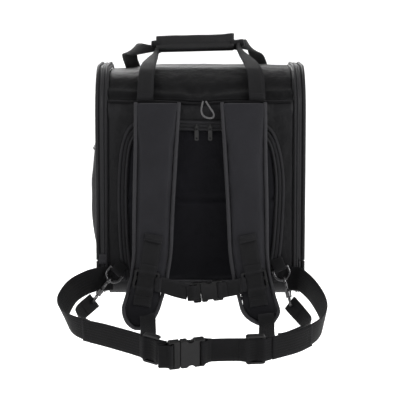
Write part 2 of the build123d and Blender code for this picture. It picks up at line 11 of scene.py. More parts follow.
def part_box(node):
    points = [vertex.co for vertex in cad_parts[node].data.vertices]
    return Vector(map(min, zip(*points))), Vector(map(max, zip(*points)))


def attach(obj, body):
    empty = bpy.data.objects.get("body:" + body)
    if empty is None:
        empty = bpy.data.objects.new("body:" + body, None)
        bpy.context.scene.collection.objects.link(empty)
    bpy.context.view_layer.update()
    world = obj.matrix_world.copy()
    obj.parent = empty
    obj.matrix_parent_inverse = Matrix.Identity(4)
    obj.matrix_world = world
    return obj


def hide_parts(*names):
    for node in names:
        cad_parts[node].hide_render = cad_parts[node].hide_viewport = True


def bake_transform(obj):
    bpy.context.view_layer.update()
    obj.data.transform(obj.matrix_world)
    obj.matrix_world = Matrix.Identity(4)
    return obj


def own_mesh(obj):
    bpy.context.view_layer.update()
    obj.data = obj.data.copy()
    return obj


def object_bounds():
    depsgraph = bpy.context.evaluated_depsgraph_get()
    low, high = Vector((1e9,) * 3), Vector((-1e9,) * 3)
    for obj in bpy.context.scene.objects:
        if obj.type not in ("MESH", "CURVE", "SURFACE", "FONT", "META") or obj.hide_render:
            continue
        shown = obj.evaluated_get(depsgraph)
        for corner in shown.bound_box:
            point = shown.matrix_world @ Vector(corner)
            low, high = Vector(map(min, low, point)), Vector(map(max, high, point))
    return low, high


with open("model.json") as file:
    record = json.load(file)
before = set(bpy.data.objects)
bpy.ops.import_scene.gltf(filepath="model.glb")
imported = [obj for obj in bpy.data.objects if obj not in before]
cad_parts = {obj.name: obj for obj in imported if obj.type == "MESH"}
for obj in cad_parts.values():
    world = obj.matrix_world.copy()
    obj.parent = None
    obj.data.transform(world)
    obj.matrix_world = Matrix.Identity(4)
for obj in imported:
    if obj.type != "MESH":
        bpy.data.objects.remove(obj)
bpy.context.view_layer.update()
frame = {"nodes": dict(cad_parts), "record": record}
BASE_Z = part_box("base_panel")[0].z


def place(points):
    """Points in millimetres above the base, as an array in the frame's metres."""
    return np.asarray(points, float) / 1000 + np.array([0, 0, BASE_Z])


def size_of(node):
    low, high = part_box(node)
    offset = Vector((0, 0, BASE_Z))
    return (low - offset) * 1000, (high - offset) * 1000


# ---- sizes, read from the frame -------------------------------------------------------------
BACK_LOW, BACK_HIGH = size_of("back_wall")
SEAM_Z = BACK_HIGH.z
WRAP_HALF = BACK_HIGH.x
HALF_DEPTH = -BACK_LOW.y
HEIGHT = size_of("top_cover")[1].z
END_OUT = size_of("end_sills")[1].x
HINGE_Z = size_of("end_sills")[1].z + 0.3
GRIP_LOW, GRIP_HIGH = size_of("handle_grip")
TOP_RADIUS, BOTTOM_RADIUS = 75.0, 20.0
WEB_THICK = 1.9             # one layer of webbing
WEB_WIDE = 24.5
BELT_WIDE = 37.5
BELT_LOOP_WIDE = 36.5       # where the belt passes a fitting
FLOOR_DROP = 0.105          # the belt can swing this far below its rest, so the floor lies lower (m)
CAMERA_DISTANCE = 2.6       # m
CAMERA_LENS = 150           # mm
WORLD_LIGHT = 0.55
LIGHTS = {                  # place and size in m, power in W
    "key": ((1.9, -1.3, 0.8), (0.9, 1.2), 46),
    "fill": ((-2.0, -1.0, 0.8), (0.8, 1.2), 22),
    "top": ((-0.2, 0.5, 1.7), (1.4, 0.8), 9),
    "back": ((-0.6, 1.9, 0.9), (1.4, 1.2), 24),
}


# ---- camera, light and floor ----------------------------------------------------------------
def camera():
    """Looks slightly down on the harness side."""
    elevation = math.radians(7.5)
    target = Vector((0, -HALF_DEPTH / 1000, BASE_Z + 0.147))
    eye = target + CAMERA_DISTANCE * Vector((0, -math.cos(elevation), math.sin(elevation)))
    data = bpy.data.cameras.new("camera")
    data.lens = CAMERA_LENS
    data.sensor_width = 36
    data.shift_x = -0.00125
    data.clip_end = 50
    cam = bpy.data.objects.new("camera", data)
    cam.location = eye
    cam.rotation_euler = (target - eye).to_track_quat("-Z", "Y").to_euler()
    bpy.context.scene.collection.objects.link(cam)
    bpy.context.scene.camera = cam


def area_light(name, location, aim, size, power):
    data = bpy.data.lights.new(name, "AREA")
    data.shape = "RECTANGLE"
    data.size, data.size_y = size
    data.energy = power
    lamp = bpy.data.objects.new(name, data)
    lamp.location = location
    lamp.rotation_euler = (Vector(aim) - Vector(location)).to_track_quat("-Z", "Y").to_euler()
    bpy.context.scene.collection.objects.link(lamp)


def studio():
    scene = bpy.context.scene
    scene.view_settings.view_transform = "Standard"
    world = bpy.data.worlds.new("studio")
    scene.world = world
    world.use_nodes = True
    background = world.node_tree.nodes["Background"]
    background.inputs["Color"].default_value = (1.0, 1.0, 1.0, 1)
    background.inputs["Strength"].default_value = WORLD_LIGHT
    middle = (0, 0, BASE_Z + 0.17)
    for name, (location, size, power) in LIGHTS.items():
        area_light(name, location, middle, size, power)


def floor(top):
    """Large pale sheet that turns up into a backdrop far behind the object."""
    reach, turn = 9.0, 2.5
    rows = [(-reach, 0.0), (reach - turn, 0.0)]
    rows += [(reach - turn + turn * math.sin(a), turn * (1 - math.cos(a)))
             for a in np.linspace(0.1, math.pi / 2, 12)]
    rows.append((reach, 7.0))
    verts = [(x, y, top + z) for y, z in rows for x in (-reach * 1.5, reach * 1.5)]
    faces = [(2 * i, 2 * i + 1, 2 * i + 3, 2 * i + 2) for i in range(len(rows) - 1)]
    sheet = new_object("floor", verts, faces, None)
    sheet.data.materials.append(floor_material())


# ---- materials ------------------------------------------------------------------------------
class Nodes:
    """Short way to build a node tree."""

    def __init__(self, name):
        self.material = bpy.data.materials.new(name)
        self.material.use_nodes = True
        self.tree = self.material.node_tree
        self.shader = self.tree.nodes["Principled BSDF"]

    def add(self, kind, **inputs):
        node = self.tree.nodes.new("ShaderNode" + kind)
        for key, value in inputs.items():
            if hasattr(node, key):
                setattr(node, key, value)
            else:
                self.feed(node.inputs[key.replace("_", " ")], value)
        return node

    def feed(self, socket, value):
        if isinstance(value, bpy.types.NodeSocket):
            self.tree.links.new(value, socket)
        else:
            socket.default_value = value

    def maths(self, operation, *values):
        node = self.tree.nodes.new("ShaderNodeMath")
        node.operation = operation
        for socket, value in zip(node.inputs, values):
            self.feed(socket, value)
        return node.outputs[0]

    def noise(self, scale, detail=2.0, rough=0.5):
        node = self.add("TexNoise", Scale=scale, Detail=detail, Roughness=rough)
        self.feed(node.inputs["Vector"], self.place())
        return node.outputs["Fac"]

    def place(self):
        return self.add("TexCoord").outputs["Object"]

    def uv(self):
        return self.add("TexCoord").outputs["UV"]

    def mix(self, factor, first, second):
        node = self.tree.nodes.new("ShaderNodeMix")
        node.data_type = "RGBA"
        self.feed(node.inputs[0], factor)
        self.feed(node.inputs[6], first)
        self.feed(node.inputs[7], second)
        return node.outputs[2]

    def ramp(self, value, low, high):
        node = self.add("MapRange")
        self.feed(node.inputs["Value"], value)
        node.inputs["From Min"].default_value = low
        node.inputs["From Max"].default_value = high
        return node.outputs["Result"]

    def bump(self, *layers):
        """Stacks (height, strength, distance in mm) layers and feeds the shader's normal."""
        normal = None
        for height, strength, distance in layers:
            node = self.add("Bump", Strength=strength, Distance=distance / 1000)
            self.feed(node.inputs["Height"], height)
            if normal is not None:
                self.feed(node.inputs["Normal"], normal)
            normal = node.outputs["Normal"]
        self.feed(self.shader.inputs["Normal"], normal)

    def set(self, **values):
        for key, value in values.items():
            self.feed(self.shader.inputs[key.replace("_", " ")], value)
        return self.material


def grey(level, blue=1.12):
    return (level, level * 0.985, level * blue, 1)


def edge_wear(n, colour, worn, amount=0.5):
    """Lightens convex edges, where the cloth rubs."""
    point = n.add("NewGeometry").outputs["Pointiness"]
    rubbed = n.maths("MULTIPLY", n.ramp(point, 0.505, 0.56), amount)
    return n.mix(n.maths("MULTIPLY", rubbed, n.noise(160, 3)), colour, worn)


def woven(name, level, thread=0.9, rough=0.62, sheen=0.03, slack=0.6, blue=1.12, shine=0.12, painted_shade=None):
    """Plain-weave cloth: crossing threads, slubs and slow changes of tone, with painted shade below a given
    height when asked.
    """
    n = Nodes(name)
    uv = n.add("SeparateXYZ", Vector=n.uv())
    turns = 2 * math.pi / (thread / 1000)
    warp = n.maths("SINE", n.maths("MULTIPLY", uv.outputs["X"], turns))
    weft = n.maths("SINE", n.maths("MULTIPLY", uv.outputs["Y"], turns))
    weave = n.maths("MULTIPLY", warp, weft)
    cloud = n.noise(18, 3)
    slub = n.noise(700, 2)
    shade = n.mix(n.ramp(cloud, 0.3, 0.7), grey(level * 0.82, blue), grey(level * 1.18, blue))
    shade = n.mix(n.maths("MULTIPLY", n.ramp(weave, -1, 1), 0.35), shade, grey(level * 0.45, blue))
    shade = edge_wear(n, shade, grey(level * 2.2, blue))
    # Painted shade: below a height band the colour darkens and sheen and shine drop, standing in for shade on
    # downturned parts.
    if painted_shade:
        height = n.add("SeparateXYZ", Vector=n.place()).outputs["Z"]
        lit = n.ramp(height, painted_shade[0], painted_shade[1])
        shade = n.mix(lit, grey(level * painted_shade[2], blue), shade)
        unshaded_share = n.maths("ADD", n.maths("MULTIPLY", lit, 1 - painted_shade[2]), painted_shade[2])
        sheen, shine = n.maths("MULTIPLY", unshaded_share, sheen), n.maths("MULTIPLY", unshaded_share, shine)
    n.bump((n.noise(55, 3), slack, 1.9), (slub, 0.25, 0.15), (weave, 0.5, 0.12))
    roughness = n.maths("ADD", n.maths("MULTIPLY", cloud, 0.16), rough - 0.08)
    return n.set(Base_Color=shade, Roughness=roughness, Sheen_Weight=sheen, Sheen_Roughness=0.45,
                 Specular_IOR_Level=shine)


def webbing_cloth(name, level, rib=1.5, shine=0.12):
    """Webbing: fine ribs across its length in herringbone columns."""
    n = Nodes(name)
    uv = n.add("SeparateXYZ", Vector=n.uv())
    column = n.maths("PINGPONG", uv.outputs["X"], 0.0022)
    slant = n.maths("ADD", uv.outputs["Y"], n.maths("MULTIPLY", column, 0.9))
    ribs = n.maths("SINE", n.maths("MULTIPLY", slant, 2 * math.pi / (rib / 1000)))
    cloud = n.noise(26, 3)
    shade = n.mix(n.ramp(cloud, 0.3, 0.7), grey(level * 0.8), grey(level * 1.2))
    shade = n.mix(n.maths("MULTIPLY", n.ramp(ribs, -1, 1), 0.4), shade, grey(level * 0.4))
    shade = edge_wear(n, shade, grey(level * 2.6), 0.8)
    n.bump((n.noise(90, 3), 0.35, 0.8), (n.noise(900, 2), 0.2, 0.1), (ribs, 0.7, 0.2))
    return n.set(Base_Color=shade, Roughness=0.6, Sheen_Weight=0.03, Sheen_Roughness=0.5,
                 Specular_IOR_Level=shine)


def net_cloth(name, level):
    n = Nodes(name)
    shade = n.mix(n.noise(120, 2), grey(level * 0.7), grey(level * 1.3))
    n.bump((n.noise(1500, 2), 0.4, 0.1))
    return n.set(Base_Color=shade, Roughness=0.55, Sheen_Weight=0.03, Specular_IOR_Level=0.15)


def moulded(name, level):
    """Acetal: fine matt grain, polished a little on the edges."""
    n = Nodes(name)
    grain = n.noise(2600, 2)
    blotch = n.noise(60, 3)
    shade = n.mix(blotch, grey(level * 0.85, 1.06), grey(level * 1.2, 1.06))
    shade = edge_wear(n, shade, grey(level * 3, 1.04), 0.7)
    n.bump((blotch, 0.15, 0.4), (grain, 0.35, 0.05))
    roughness = n.maths("ADD", n.maths("MULTIPLY", blotch, 0.18), 0.26)
    return n.set(Base_Color=shade, Roughness=roughness, Specular_IOR_Level=0.2)


def metal(name, level, rough=0.25, metallic=1.0):
    n = Nodes(name)
    smear = n.noise(180, 4)
    scratch = n.noise(1400, 3)
    shade = n.mix(smear, grey(level * 0.8, 1.02), grey(level * 1.25, 1.02))
    shade = edge_wear(n, shade, grey(min(0.8, level * 3), 1.0), 0.8)
    n.bump((smear, 0.12, 0.2), (scratch, 0.12, 0.04))
    roughness = n.maths("ADD", n.maths("MULTIPLY", smear, 0.25), rough - 0.1)
    return n.set(Base_Color=shade, Roughness=roughness, Metallic=metallic)


def cord_cloth(name, level):
    n = Nodes(name)
    uv = n.add("SeparateXYZ", Vector=n.uv())
    twist = n.maths("ADD", n.maths("MULTIPLY", uv.outputs["Y"], 5200),
                    n.maths("MULTIPLY", uv.outputs["X"], 2200))
    lay = n.maths("SINE", twist)
    shade = n.mix(n.ramp(lay, -1, 1), grey(level * 0.55, 1.02), grey(level * 1.15, 1.02))
    n.bump((lay, 0.7, 0.2))
    return n.set(Base_Color=shade, Roughness=0.7, Sheen_Weight=0.3)


def fleece(name, level):
    n = Nodes(name)
    pile = n.noise(500, 4, 0.7)
    cloud = n.noise(40, 3)
    shade = n.mix(cloud, grey(level * 0.8, 1.03), grey(level * 1.15, 1.03))
    shade = n.mix(n.maths("MULTIPLY", pile, 0.5), shade, grey(level * 0.6, 1.03))
    n.bump((cloud, 0.4, 2.0), (pile, 0.9, 0.8))
    return n.set(Base_Color=shade, Roughness=0.95, Sheen_Weight=0.6, Sheen_Roughness=0.6)


def floor_material():
    n = Nodes("pale_floor")
    shade = n.mix(n.noise(3, 2), (0.90, 0.90, 0.90, 1), (0.93, 0.93, 0.93, 1))
    return n.set(Base_Color=shade, Roughness=0.9, Specular_IOR_Level=0.1, Emission_Color=(1, 1, 1, 1),
                 Emission_Strength=0.5)


SHELL = woven("shell_cloth", 0.0075, rough=0.50, shine=0.16)
COVER = woven("cover_cloth", 0.0034, rough=0.50, sheen=0.02, slack=1.4, shine=0.08)
SIDE = woven("side_cloth", 0.0100, rough=0.50, sheen=0.05, shine=0.20)
YOKE = woven("back_cloth", 0.0065, thread=1.1, rough=0.55, sheen=0.03, slack=1.5, shine=0.14)
DEEP = woven("panel_cloth", 0.0042, thread=1.1, rough=0.62, sheen=0.01, slack=1.0, blue=1.35, shine=0.07)
# Painted shade on the pads' lower ends: colour falls to 0.36 of its level and sheen and shine drop, from 35 mm
# above the base to 30 mm below it.
PAD = woven("pad_cloth", 0.0120, thread=1.0, rough=0.60, sheen=0.06, slack=1.0, blue=1.2, shine=0.12,
            painted_shade=(BASE_Z - 0.030, BASE_Z + 0.035, 0.36))
BINDING = woven("binding_cloth", 0.016, thread=0.8, rough=0.55, sheen=0.06, shine=0.16)
GRIP_WRAP = woven("grip_cloth", 0.0050, rough=0.42, sheen=0.04, slack=0.8, shine=0.26)
TAPE = woven("zip_tape_cloth", 0.010, thread=0.7, rough=0.6, shine=0.14)
WEBBING = webbing_cloth("webbing_cloth", 0.0050)
BELT = webbing_cloth("belt_cloth", 0.0036, rib=1.8, shine=0.07)
NET = net_cloth("net_cloth", 0.008)
THREAD = net_cloth("thread", 0.020)
PLASTIC = moulded("buckle_plastic", 0.0035)
BOARD = moulded("board_plastic", 0.03)
COIL = moulded("coil_plastic", 0.008)
DARK_METAL = metal("gunmetal", 0.06, metallic=0.9)
ZIP_METAL = metal("zip_metal", 0.006, rough=0.5, metallic=0.3)
STEEL = metal("spring_steel", 0.45)
CORD = cord_cloth("cord_cloth", 0.075)
FLEECE = fleece("mat_fleece", 0.22)


# ---- mesh helpers ---------------------------------------------------------------------------
def cells(rows, count, loop_rows=False, loop_columns=False):
    """Each cell of a grid of points: its row, its column and the indices of its four corners."""
    for i in range(rows if loop_rows else rows - 1):
        for k in range(count if loop_columns else count - 1):
            j, l = (i + 1) % rows, (k + 1) % count
            yield i, k, (i * count + k, i * count + l, j * count + l, j * count + k)


def cell_faces(rows, count, loop_columns=False):
    return [face for _, _, face in cells(rows, count, loop_columns=loop_columns)]


def new_object(name, verts, faces, material, uvs=None):
    """Mesh object with outward faces; uvs holds one pair for each face corner."""
    mesh = bpy.data.meshes.new(name)
    mesh.from_pydata([tuple(v) for v in verts], [], faces)
    if uvs is not None:
        mesh.uv_layers.new(name="UVMap").data.foreach_set("uv", np.asarray(uvs, float).ravel())
    work = bmesh.new()
    work.from_mesh(mesh)
    bmesh.ops.recalc_face_normals(work, faces=work.faces)
    work.to_mesh(mesh)
    work.free()
    mesh.polygons.foreach_set("use_smooth", [True] * len(mesh.polygons))
    obj = bpy.data.objects.new(name, mesh)
    bpy.context.scene.collection.objects.link(obj)
    if material is not None:
        mesh.materials.append(material)
    return obj


def smooth_rows(rows, step, closed=False):
    """Rows along the smooth curve through rows, whose first three columns are a point in mm."""
    rows = np.array(rows, float)
    if closed:
        padded = np.vstack([rows[-1:], rows, rows[:2]])
    else:
        padded = np.vstack([2 * rows[0] - rows[1], rows, 2 * rows[-1] - rows[-2]])
    out = []
    for a, b, c, d in zip(padded, padded[1:], padded[2:], padded[3:]):
        count = max(1, round(float(np.linalg.norm((c - b)[:3])) / step))
        for t in np.arange(count) / count:
            out.append(0.5 * (2 * b + (c - a) * t + (2 * a - 5 * b + 4 * c - d) * t ** 2
                              + (3 * b - a - 3 * c + d) * t ** 3))
    if not closed:
        out.append(rows[-1])
    return np.array(out)


def unit(vectors):
    return vectors / np.linalg.norm(vectors, axis=-1, keepdims=True)


def distances(points, closed=False):
    gaps = np.linalg.norm(np.diff(points, axis=0), axis=1)
    if closed:
        gaps = np.append(gaps, np.linalg.norm(points[0] - points[-1]))
    return np.concatenate([[0], np.cumsum(gaps)])


def loft(name, rings, material, closed_path=False):
    """Skin through rings of points in mm, capped unless its path is closed.

    u runs round a ring and v along the path, in metres.
    """
    rings = np.asarray(rings, float)
    n, m, _ = rings.shape
    along = distances(rings.mean(axis=1), closed_path) / 1000
    around = distances(rings[n // 2], closed=True) / 1000
    faces, uvs = [], []
    for i, k, face in cells(n, m, loop_rows=closed_path, loop_columns=True):
        faces.append(face)
        uvs += [(around[b], along[a]) for a, b in ((i, k), (i, k + 1), (i + 1, k + 1), (i + 1, k))]
    if not closed_path:
        for start in (0, (n - 1) * m):
            faces.append(tuple(range(start, start + m)))
            uvs += [(around[k], 0) for k in range(m)]
    return new_object(name, place(rings.reshape(-1, 3)), faces, material, uvs)


def tangents(points, closed=False):
    if closed:
        return unit(np.roll(points, -1, 0) - np.roll(points, 1, 0))
    return unit(np.gradient(points, axis=0))


def tube(name, points, radius, material, closed=False, sides=8, step=4.0, flat=1.0):
    """Round cord through points; radius may be a function of the distance along it."""
    line = smooth_rows(points, step, closed)
    heading = tangents(line, closed)
    side = np.cross(heading[0], (0.31, 0.52, 0.79))
    reach = radius if callable(radius) else (lambda s: radius)
    far = distances(line)
    rings = []
    for point, ahead, s in zip(line, heading, far):
        side = unit(side - ahead * np.dot(side, ahead))
        up = np.cross(ahead, side)
        turn = np.arange(sides) * 2 * math.pi / sides
        rings.append([point + reach(s) * (math.cos(a) * side + math.sin(a) * up * flat) for a in turn])
    return loft(name, rings, material, closed_path=closed)


BAND = [(-1, 0), (-0.985, 0.7), (-0.94, 1), (-0.5, 1), (0, 1), (0.5, 1), (0.94, 1), (0.985, 0.7),
        (1, 0), (0.985, -0.7), (0.94, -1), (0.5, -1), (0, -1), (-0.5, -1), (-0.94, -1), (-0.985, -0.7)]


def band_rings(points, across, width, thick, step=4.0, ruffle=0.35):
    """Rings of a flat strap through points; across holds its width direction at each of them."""
    count = len(points)
    wide = width if isinstance(width, (list, tuple)) else [width] * count
    deep = thick if isinstance(thick, (list, tuple)) else [thick] * count
    rows = smooth_rows([[*p, *a, w, t] for p, a, w, t in zip(points, across, wide, deep)], step)
    centre, side = rows[:, :3], rows[:, 3:6]
    heading = tangents(centre)
    side = unit(side - heading * np.sum(side * heading, axis=1, keepdims=True))
    face = np.cross(heading, side)
    rings = []
    for point, along, out, size, depth in zip(centre, side, face, rows[:, 6], rows[:, 7]):
        bow = ruffle * noise.noise(Vector(point) * 0.03)
        rings.append([point + along * (s * size / 2) + out * (h * depth / 2 + bow * s * s) for s, h in BAND])
    return np.array(rings)


def ribbon(name, points, across, width, thick, material, step=4.0, ruffle=0.35):
    """Flat strap as one mesh; width and thick may be lists with a value for each point."""
    return loft(name, band_rings(points, across, width, thick, step, ruffle), material)


def joined(name, objects):
    """One object from several, with the first one's name replaced."""
    depsgraph = bpy.context.evaluated_depsgraph_get()
    work = bmesh.new()
    materials = []
    for obj in objects:
        mesh = obj.evaluated_get(depsgraph).to_mesh()
        before = len(work.faces)
        work.from_mesh(mesh)
        work.faces.ensure_lookup_table()
        own = obj.data.materials[0]
        if own not in materials:
            materials.append(own)
        for face in work.faces[before:]:
            face.material_index = materials.index(own)
        obj.evaluated_get(depsgraph).to_mesh_clear()
    mesh = bpy.data.meshes.new(name)
    work.to_mesh(mesh)
    work.free()
    for material in materials:
        mesh.materials.append(material)
    for obj in objects:
        bpy.data.objects.remove(obj)
    made = bpy.data.objects.new(name, mesh)
    bpy.context.scene.collection.objects.link(made)
    return made


STITCH_PITCH, STITCH_LENGTH, STITCH_RADIUS = 3.4, 2.4, 0.28


def stitches(name, lines):
    """Seams of thread: each stitch is a small spindle along its line of points in mm."""
    verts, faces = [], []
    for line in lines:
        line = np.asarray(line, float)
        far = distances(line)
        marks = np.arange(STITCH_PITCH / 2, far[-1], STITCH_PITCH)
        centres = np.stack([np.interp(marks, far, line[:, i]) for i in range(3)], axis=1)
        ahead = np.stack([np.interp(marks + 0.5, far, line[:, i]) for i in range(3)], axis=1) - centres
        for centre, way in zip(centres, ahead):
            size = np.linalg.norm(way)
            if size < 1e-6:
                continue
            way = way / size
            side = unit(np.cross(way, (0.3, 0.5, 0.81)))
            up = np.cross(way, side)
            k = len(verts)
            end = way * STITCH_LENGTH / 2
            verts += [centre - end, centre + side * STITCH_RADIUS, centre + up * STITCH_RADIUS,
                      centre - side * STITCH_RADIUS, centre - up * STITCH_RADIUS, centre + end]
            for a in range(4):
                b = (a + 1) % 4
                faces += [(k, k + 1 + b, k + 1 + a), (k + 5, k + 1 + a, k + 1 + b)]
    return new_object(name, place(verts), faces, THREAD)


def thicken(obj, thick):
    """Gives a sheet thickness in mm, inwards from its face."""
    solid = obj.modifiers.new("thickness", "SOLIDIFY")
    solid.thickness = thick / 1000
    solid.offset = -1
    return obj


def finer(obj):
    sub = obj.modifiers.new("finer", "SUBSURF")
    sub.levels = sub.render_levels = 1
    return obj


def finish(obj, body, slot, *nodes):
    """Puts a piece on its body and in the place of its CAD nodes; its material slot is not used."""
    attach(obj, body)
    if nodes:
        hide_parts(*nodes)


def on_left(side, node):
    """A CAD node that holds both sides is replaced by the left side's piece."""
    return [node] if side == "left" else []


def frontward(vector):
    """The vector or its opposite, whichever points out of the harness side."""
    return vector if vector[1] < 0 else -vector


def lump(x, y, z, scale, seed=0.0):
    """Smooth noise between about -1 and 1 whose lumps are scale mm across."""
    return noise.noise(Vector((x / scale + seed, y / scale, z / scale)))


def ease(value, start, end):
    t = min(1.0, max(0.0, (value - start) / (end - start)))
    return t * t * (3 - 2 * t)


# ---- the bag's outline, seen from the end -----------------------------------------------------
STRAIGHT = HEIGHT - TOP_RADIUS - BOTTOM_RADIUS
RUNS = [("line", (-HALF_DEPTH, BOTTOM_RADIUS), (0, 1), STRAIGHT),
        ("arc", (-HALF_DEPTH + TOP_RADIUS, HEIGHT - TOP_RADIUS), TOP_RADIUS, math.pi),
        ("line", (-HALF_DEPTH + TOP_RADIUS, HEIGHT), (1, 0), 2 * (HALF_DEPTH - TOP_RADIUS)),
        ("arc", (HALF_DEPTH - TOP_RADIUS, HEIGHT - TOP_RADIUS), TOP_RADIUS, math.pi / 2),
        ("line", (HALF_DEPTH, HEIGHT - TOP_RADIUS), (0, -1), STRAIGHT),
        ("arc", (HALF_DEPTH - BOTTOM_RADIUS, BOTTOM_RADIUS), BOTTOM_RADIUS, 0),
        ("line", (HALF_DEPTH - BOTTOM_RADIUS, 0), (-1, 0), 2 * (HALF_DEPTH - BOTTOM_RADIUS)),
        ("arc", (-HALF_DEPTH + BOTTOM_RADIUS, BOTTOM_RADIUS), BOTTOM_RADIUS, -math.pi / 2)]
LENGTHS = [run[3] if run[0] == "line" else run[2] * math.pi / 2 for run in RUNS]
ROUND = sum(LENGTHS)
SEAM_S = STRAIGHT + TOP_RADIUS * math.asin((SEAM_Z - HEIGHT + TOP_RADIUS) / TOP_RADIUS)
FAR_SEAM_S = 2 * STRAIGHT + LENGTHS[1] + LENGTHS[2] + LENGTHS[3] - SEAM_S


def outline(s, out=0.0):
    """y and z at distance s round the outline, which starts at the foot of the harness side."""
    s = s % ROUND
    for run, length in zip(RUNS, LENGTHS):
        if s <= length:
            break
        s -= length
    if run[0] == "line":
        (y, z), (dy, dz) = run[1], run[2]
        return y + dy * s - dz * out, z + dz * s + dy * out
    angle = run[3] - s / run[2]
    reach = run[2] + out
    return run[1][0] + reach * math.cos(angle), run[1][1] + reach * math.sin(angle)


def far_s(z):
    """Distance round the outline to height z on the side away from the harness."""
    return ROUND - LENGTHS[7] - LENGTHS[6] - LENGTHS[5] - (z - BOTTOM_RADIUS)


def wrap(name, xs, ss, material, out):
    """Sheet over the outline; out(x, s) is how far it stands proud, in mm."""
    verts = [(x, *outline(s, out(x, s))) for s in ss for x in xs]
    m = len(xs)
    faces = cell_faces(len(ss), m)
    uvs = [(xs[q % m] / 1000, ss[q // m] / 1000) for face in faces for q in face]
    return new_object(name, place(verts), faces, material, uvs)


def steps(start, end, step):
    return np.linspace(start, end, max(2, int(abs(end - start) / step) + 1))


def rounded(centre, size, radius, count=24):
    """Dense outline of a rectangle with round corners, anticlockwise from its lower right."""
    points = []
    for i, (sx, sy) in enumerate(((1, -1), (1, 1), (-1, 1), (-1, -1))):
        cx = centre[0] + sx * (size[0] / 2 - radius)
        cy = centre[1] + sy * (size[1] / 2 - radius)
        for a in np.linspace(0, math.pi / 2, count):
            angle = a + (i - 1) * math.pi / 2
            points.append((cx + radius * math.cos(angle), cy + radius * math.sin(angle)))
    return np.array(points)


def toward(points, centre, angles):
    """Where rays from centre at these angles meet the closed outline through points."""
    far = np.vstack([points + (np.roll(points, -1, 0) - points) * t for t in (0, 0.25, 0.5, 0.75)])
    offset = far - centre
    around = np.arctan2(offset[:, 1], offset[:, 0])
    order = np.argsort(around)
    reach = np.interp(angles, around[order], np.hypot(*offset.T)[order], period=2 * math.pi)
    return np.array(centre) + np.stack([np.cos(angles), np.sin(angles)], 1) * reach[:, None]


def framed(name, outer, hole, centre, rows, material, shape, edge=()):
    """Panel between two outlines in its own plane, sent to 3-D by shape(u, v, t)."""
    outer = np.asarray(outer, float)
    angles = np.arctan2(outer[:, 1] - centre[1], outer[:, 0] - centre[0])
    inner = toward(np.asarray(hole, float), centre, angles)
    flat = [outer * (1 - t) + inner * t for t in np.linspace(0, 1, rows)]
    rings = [list(ring) for ring in edge]
    rings += [[shape(u, v, t) for u, v in row] for row, t in zip(flat, np.linspace(0, 1, rows))]
    count = len(outer)
    verts = [p for ring in rings for p in ring]
    plane = [outer] * len(edge) + flat
    faces = cell_faces(len(rings), count, loop_columns=True)
    uvs = [tuple(plane[q // count][q % count] / 1000) for face in faces for q in face]
    return new_object(name, place(verts), faces, material, uvs)


NET_PITCH, NET_WIRE = 3.6, 0.8


def net(name, centre, size, radius, shape):
    """Open netting: a wire lattice clipped to a window with round corners."""
    nu, nv = int(size[0] / NET_PITCH), int(size[1] / NET_PITCH)
    us = centre[0] + (np.arange(nu + 1) - nu / 2) * NET_PITCH
    vs = centre[1] + (np.arange(nv + 1) - nv / 2) * NET_PITCH
    verts = [shape(u, v) for v in vs for u in us]
    faces = []
    for i, k, face in cells(nv + 1, nu + 1):
        du = abs((us[k] + us[k + 1]) / 2 - centre[0]) - (size[0] / 2 - radius)
        dv = abs((vs[i] + vs[i + 1]) / 2 - centre[1]) - (size[1] / 2 - radius)
        if math.hypot(max(du, 0), max(dv, 0)) < radius:
            faces.append(face)
    obj = new_object(name, place(verts), faces, NET)
    wires = obj.modifiers.new("wires", "WIREFRAME")
    wires.thickness = NET_WIRE / 1000
    wires.use_even_offset = False
    return obj


def cut(obj, low=None, high=None):
    """Keeps the part of a mesh between two heights."""
    work = bmesh.new()
    work.from_mesh(obj.data)
    for level, normal in ((low, -1), (high, 1)):
        if level is not None:
            bmesh.ops.bisect_plane(work, geom=work.verts[:] + work.edges[:] + work.faces[:],
                                   plane_co=(0, 0, BASE_Z + level / 1000), plane_no=(0, 0, normal),
                                   clear_outer=True)
    work.to_mesh(obj.data)
    work.free()


def loop_path(x, out, start, end, step=5.0):
    return [(x, *outline(s, out)) for s in steps(start, end, step)]


# ---- shell --------------------------------------------------------------------------------------
LOOP_X = -3.0


def back_out(x, s):
    """The harness side's fabric: nearly flat, with a puffed yoke above the zip."""
    z = BOTTOM_RADIUS + s
    slack = ease(z, 264, 276)
    puff = 2.6 * math.exp(-((z - 289 - 1.5 * lump(x, 0, 0, 50, 2)) / 7) ** 2)
    puff += slack * (1.3 * lump(x * 0.5, 0, z, 13, 3) + 0.6 * lump(x, 0, z * 1.5, 9, 7))
    beside = ease(abs(x), 118, 132) * (1.2 + 0.7 * lump(x, 0, z * 0.5, 20, 4))
    return puff + beside + 0.35 * lump(x, 0, z, 48) + 0.15 * lump(x, 0, z, 13, 5) - 0.2


def cover_out(x, s):
    """Top cover: lower beside its left rim, puffed above its hem, creased towards the loop."""
    low = -6.5 * ease(-x, 60, 128) - 1.0 * ease(x, 90, 125)
    near = s - SEAM_S
    lift = abs(x - LOOP_X) / 115
    ridge = 4 + 11 * min(1.0, lift) ** 0.7
    puff = 3.4 * math.exp(-((near - ridge) / 5.5) ** 2) - 1.4 * math.exp(-((near - ridge - 13) / 8) ** 2)
    far_puff = 2.2 * math.exp(-((FAR_SEAM_S - s - 8) / 9) ** 2)
    sag = ease(near, 30, 90)
    reach = math.hypot(x - LOOP_X, near + 6)
    rays = math.sin(8 * math.atan2(near + 6, x - LOOP_X)) * math.exp(-reach / 40) * 2.2
    drift = 0.9 * lump(x, s, 0, 60, 1) + 0.5 * lump(x * 0.5, s, 0, 17, 4) + 0.35 * lump(x, s * 0.4, 0, 11, 9)
    return low * sag + puff + far_puff + rays * ease(near, -2, 6) + drift


def hem_z(x):
    """The hem hangs a little lower where the loop is sewn into it."""
    return SEAM_Z + 0.6 - 2.8 * math.exp(-((x - LOOP_X) / 30) ** 2) + 0.5 * lump(x, 0, 0, 34, 6)


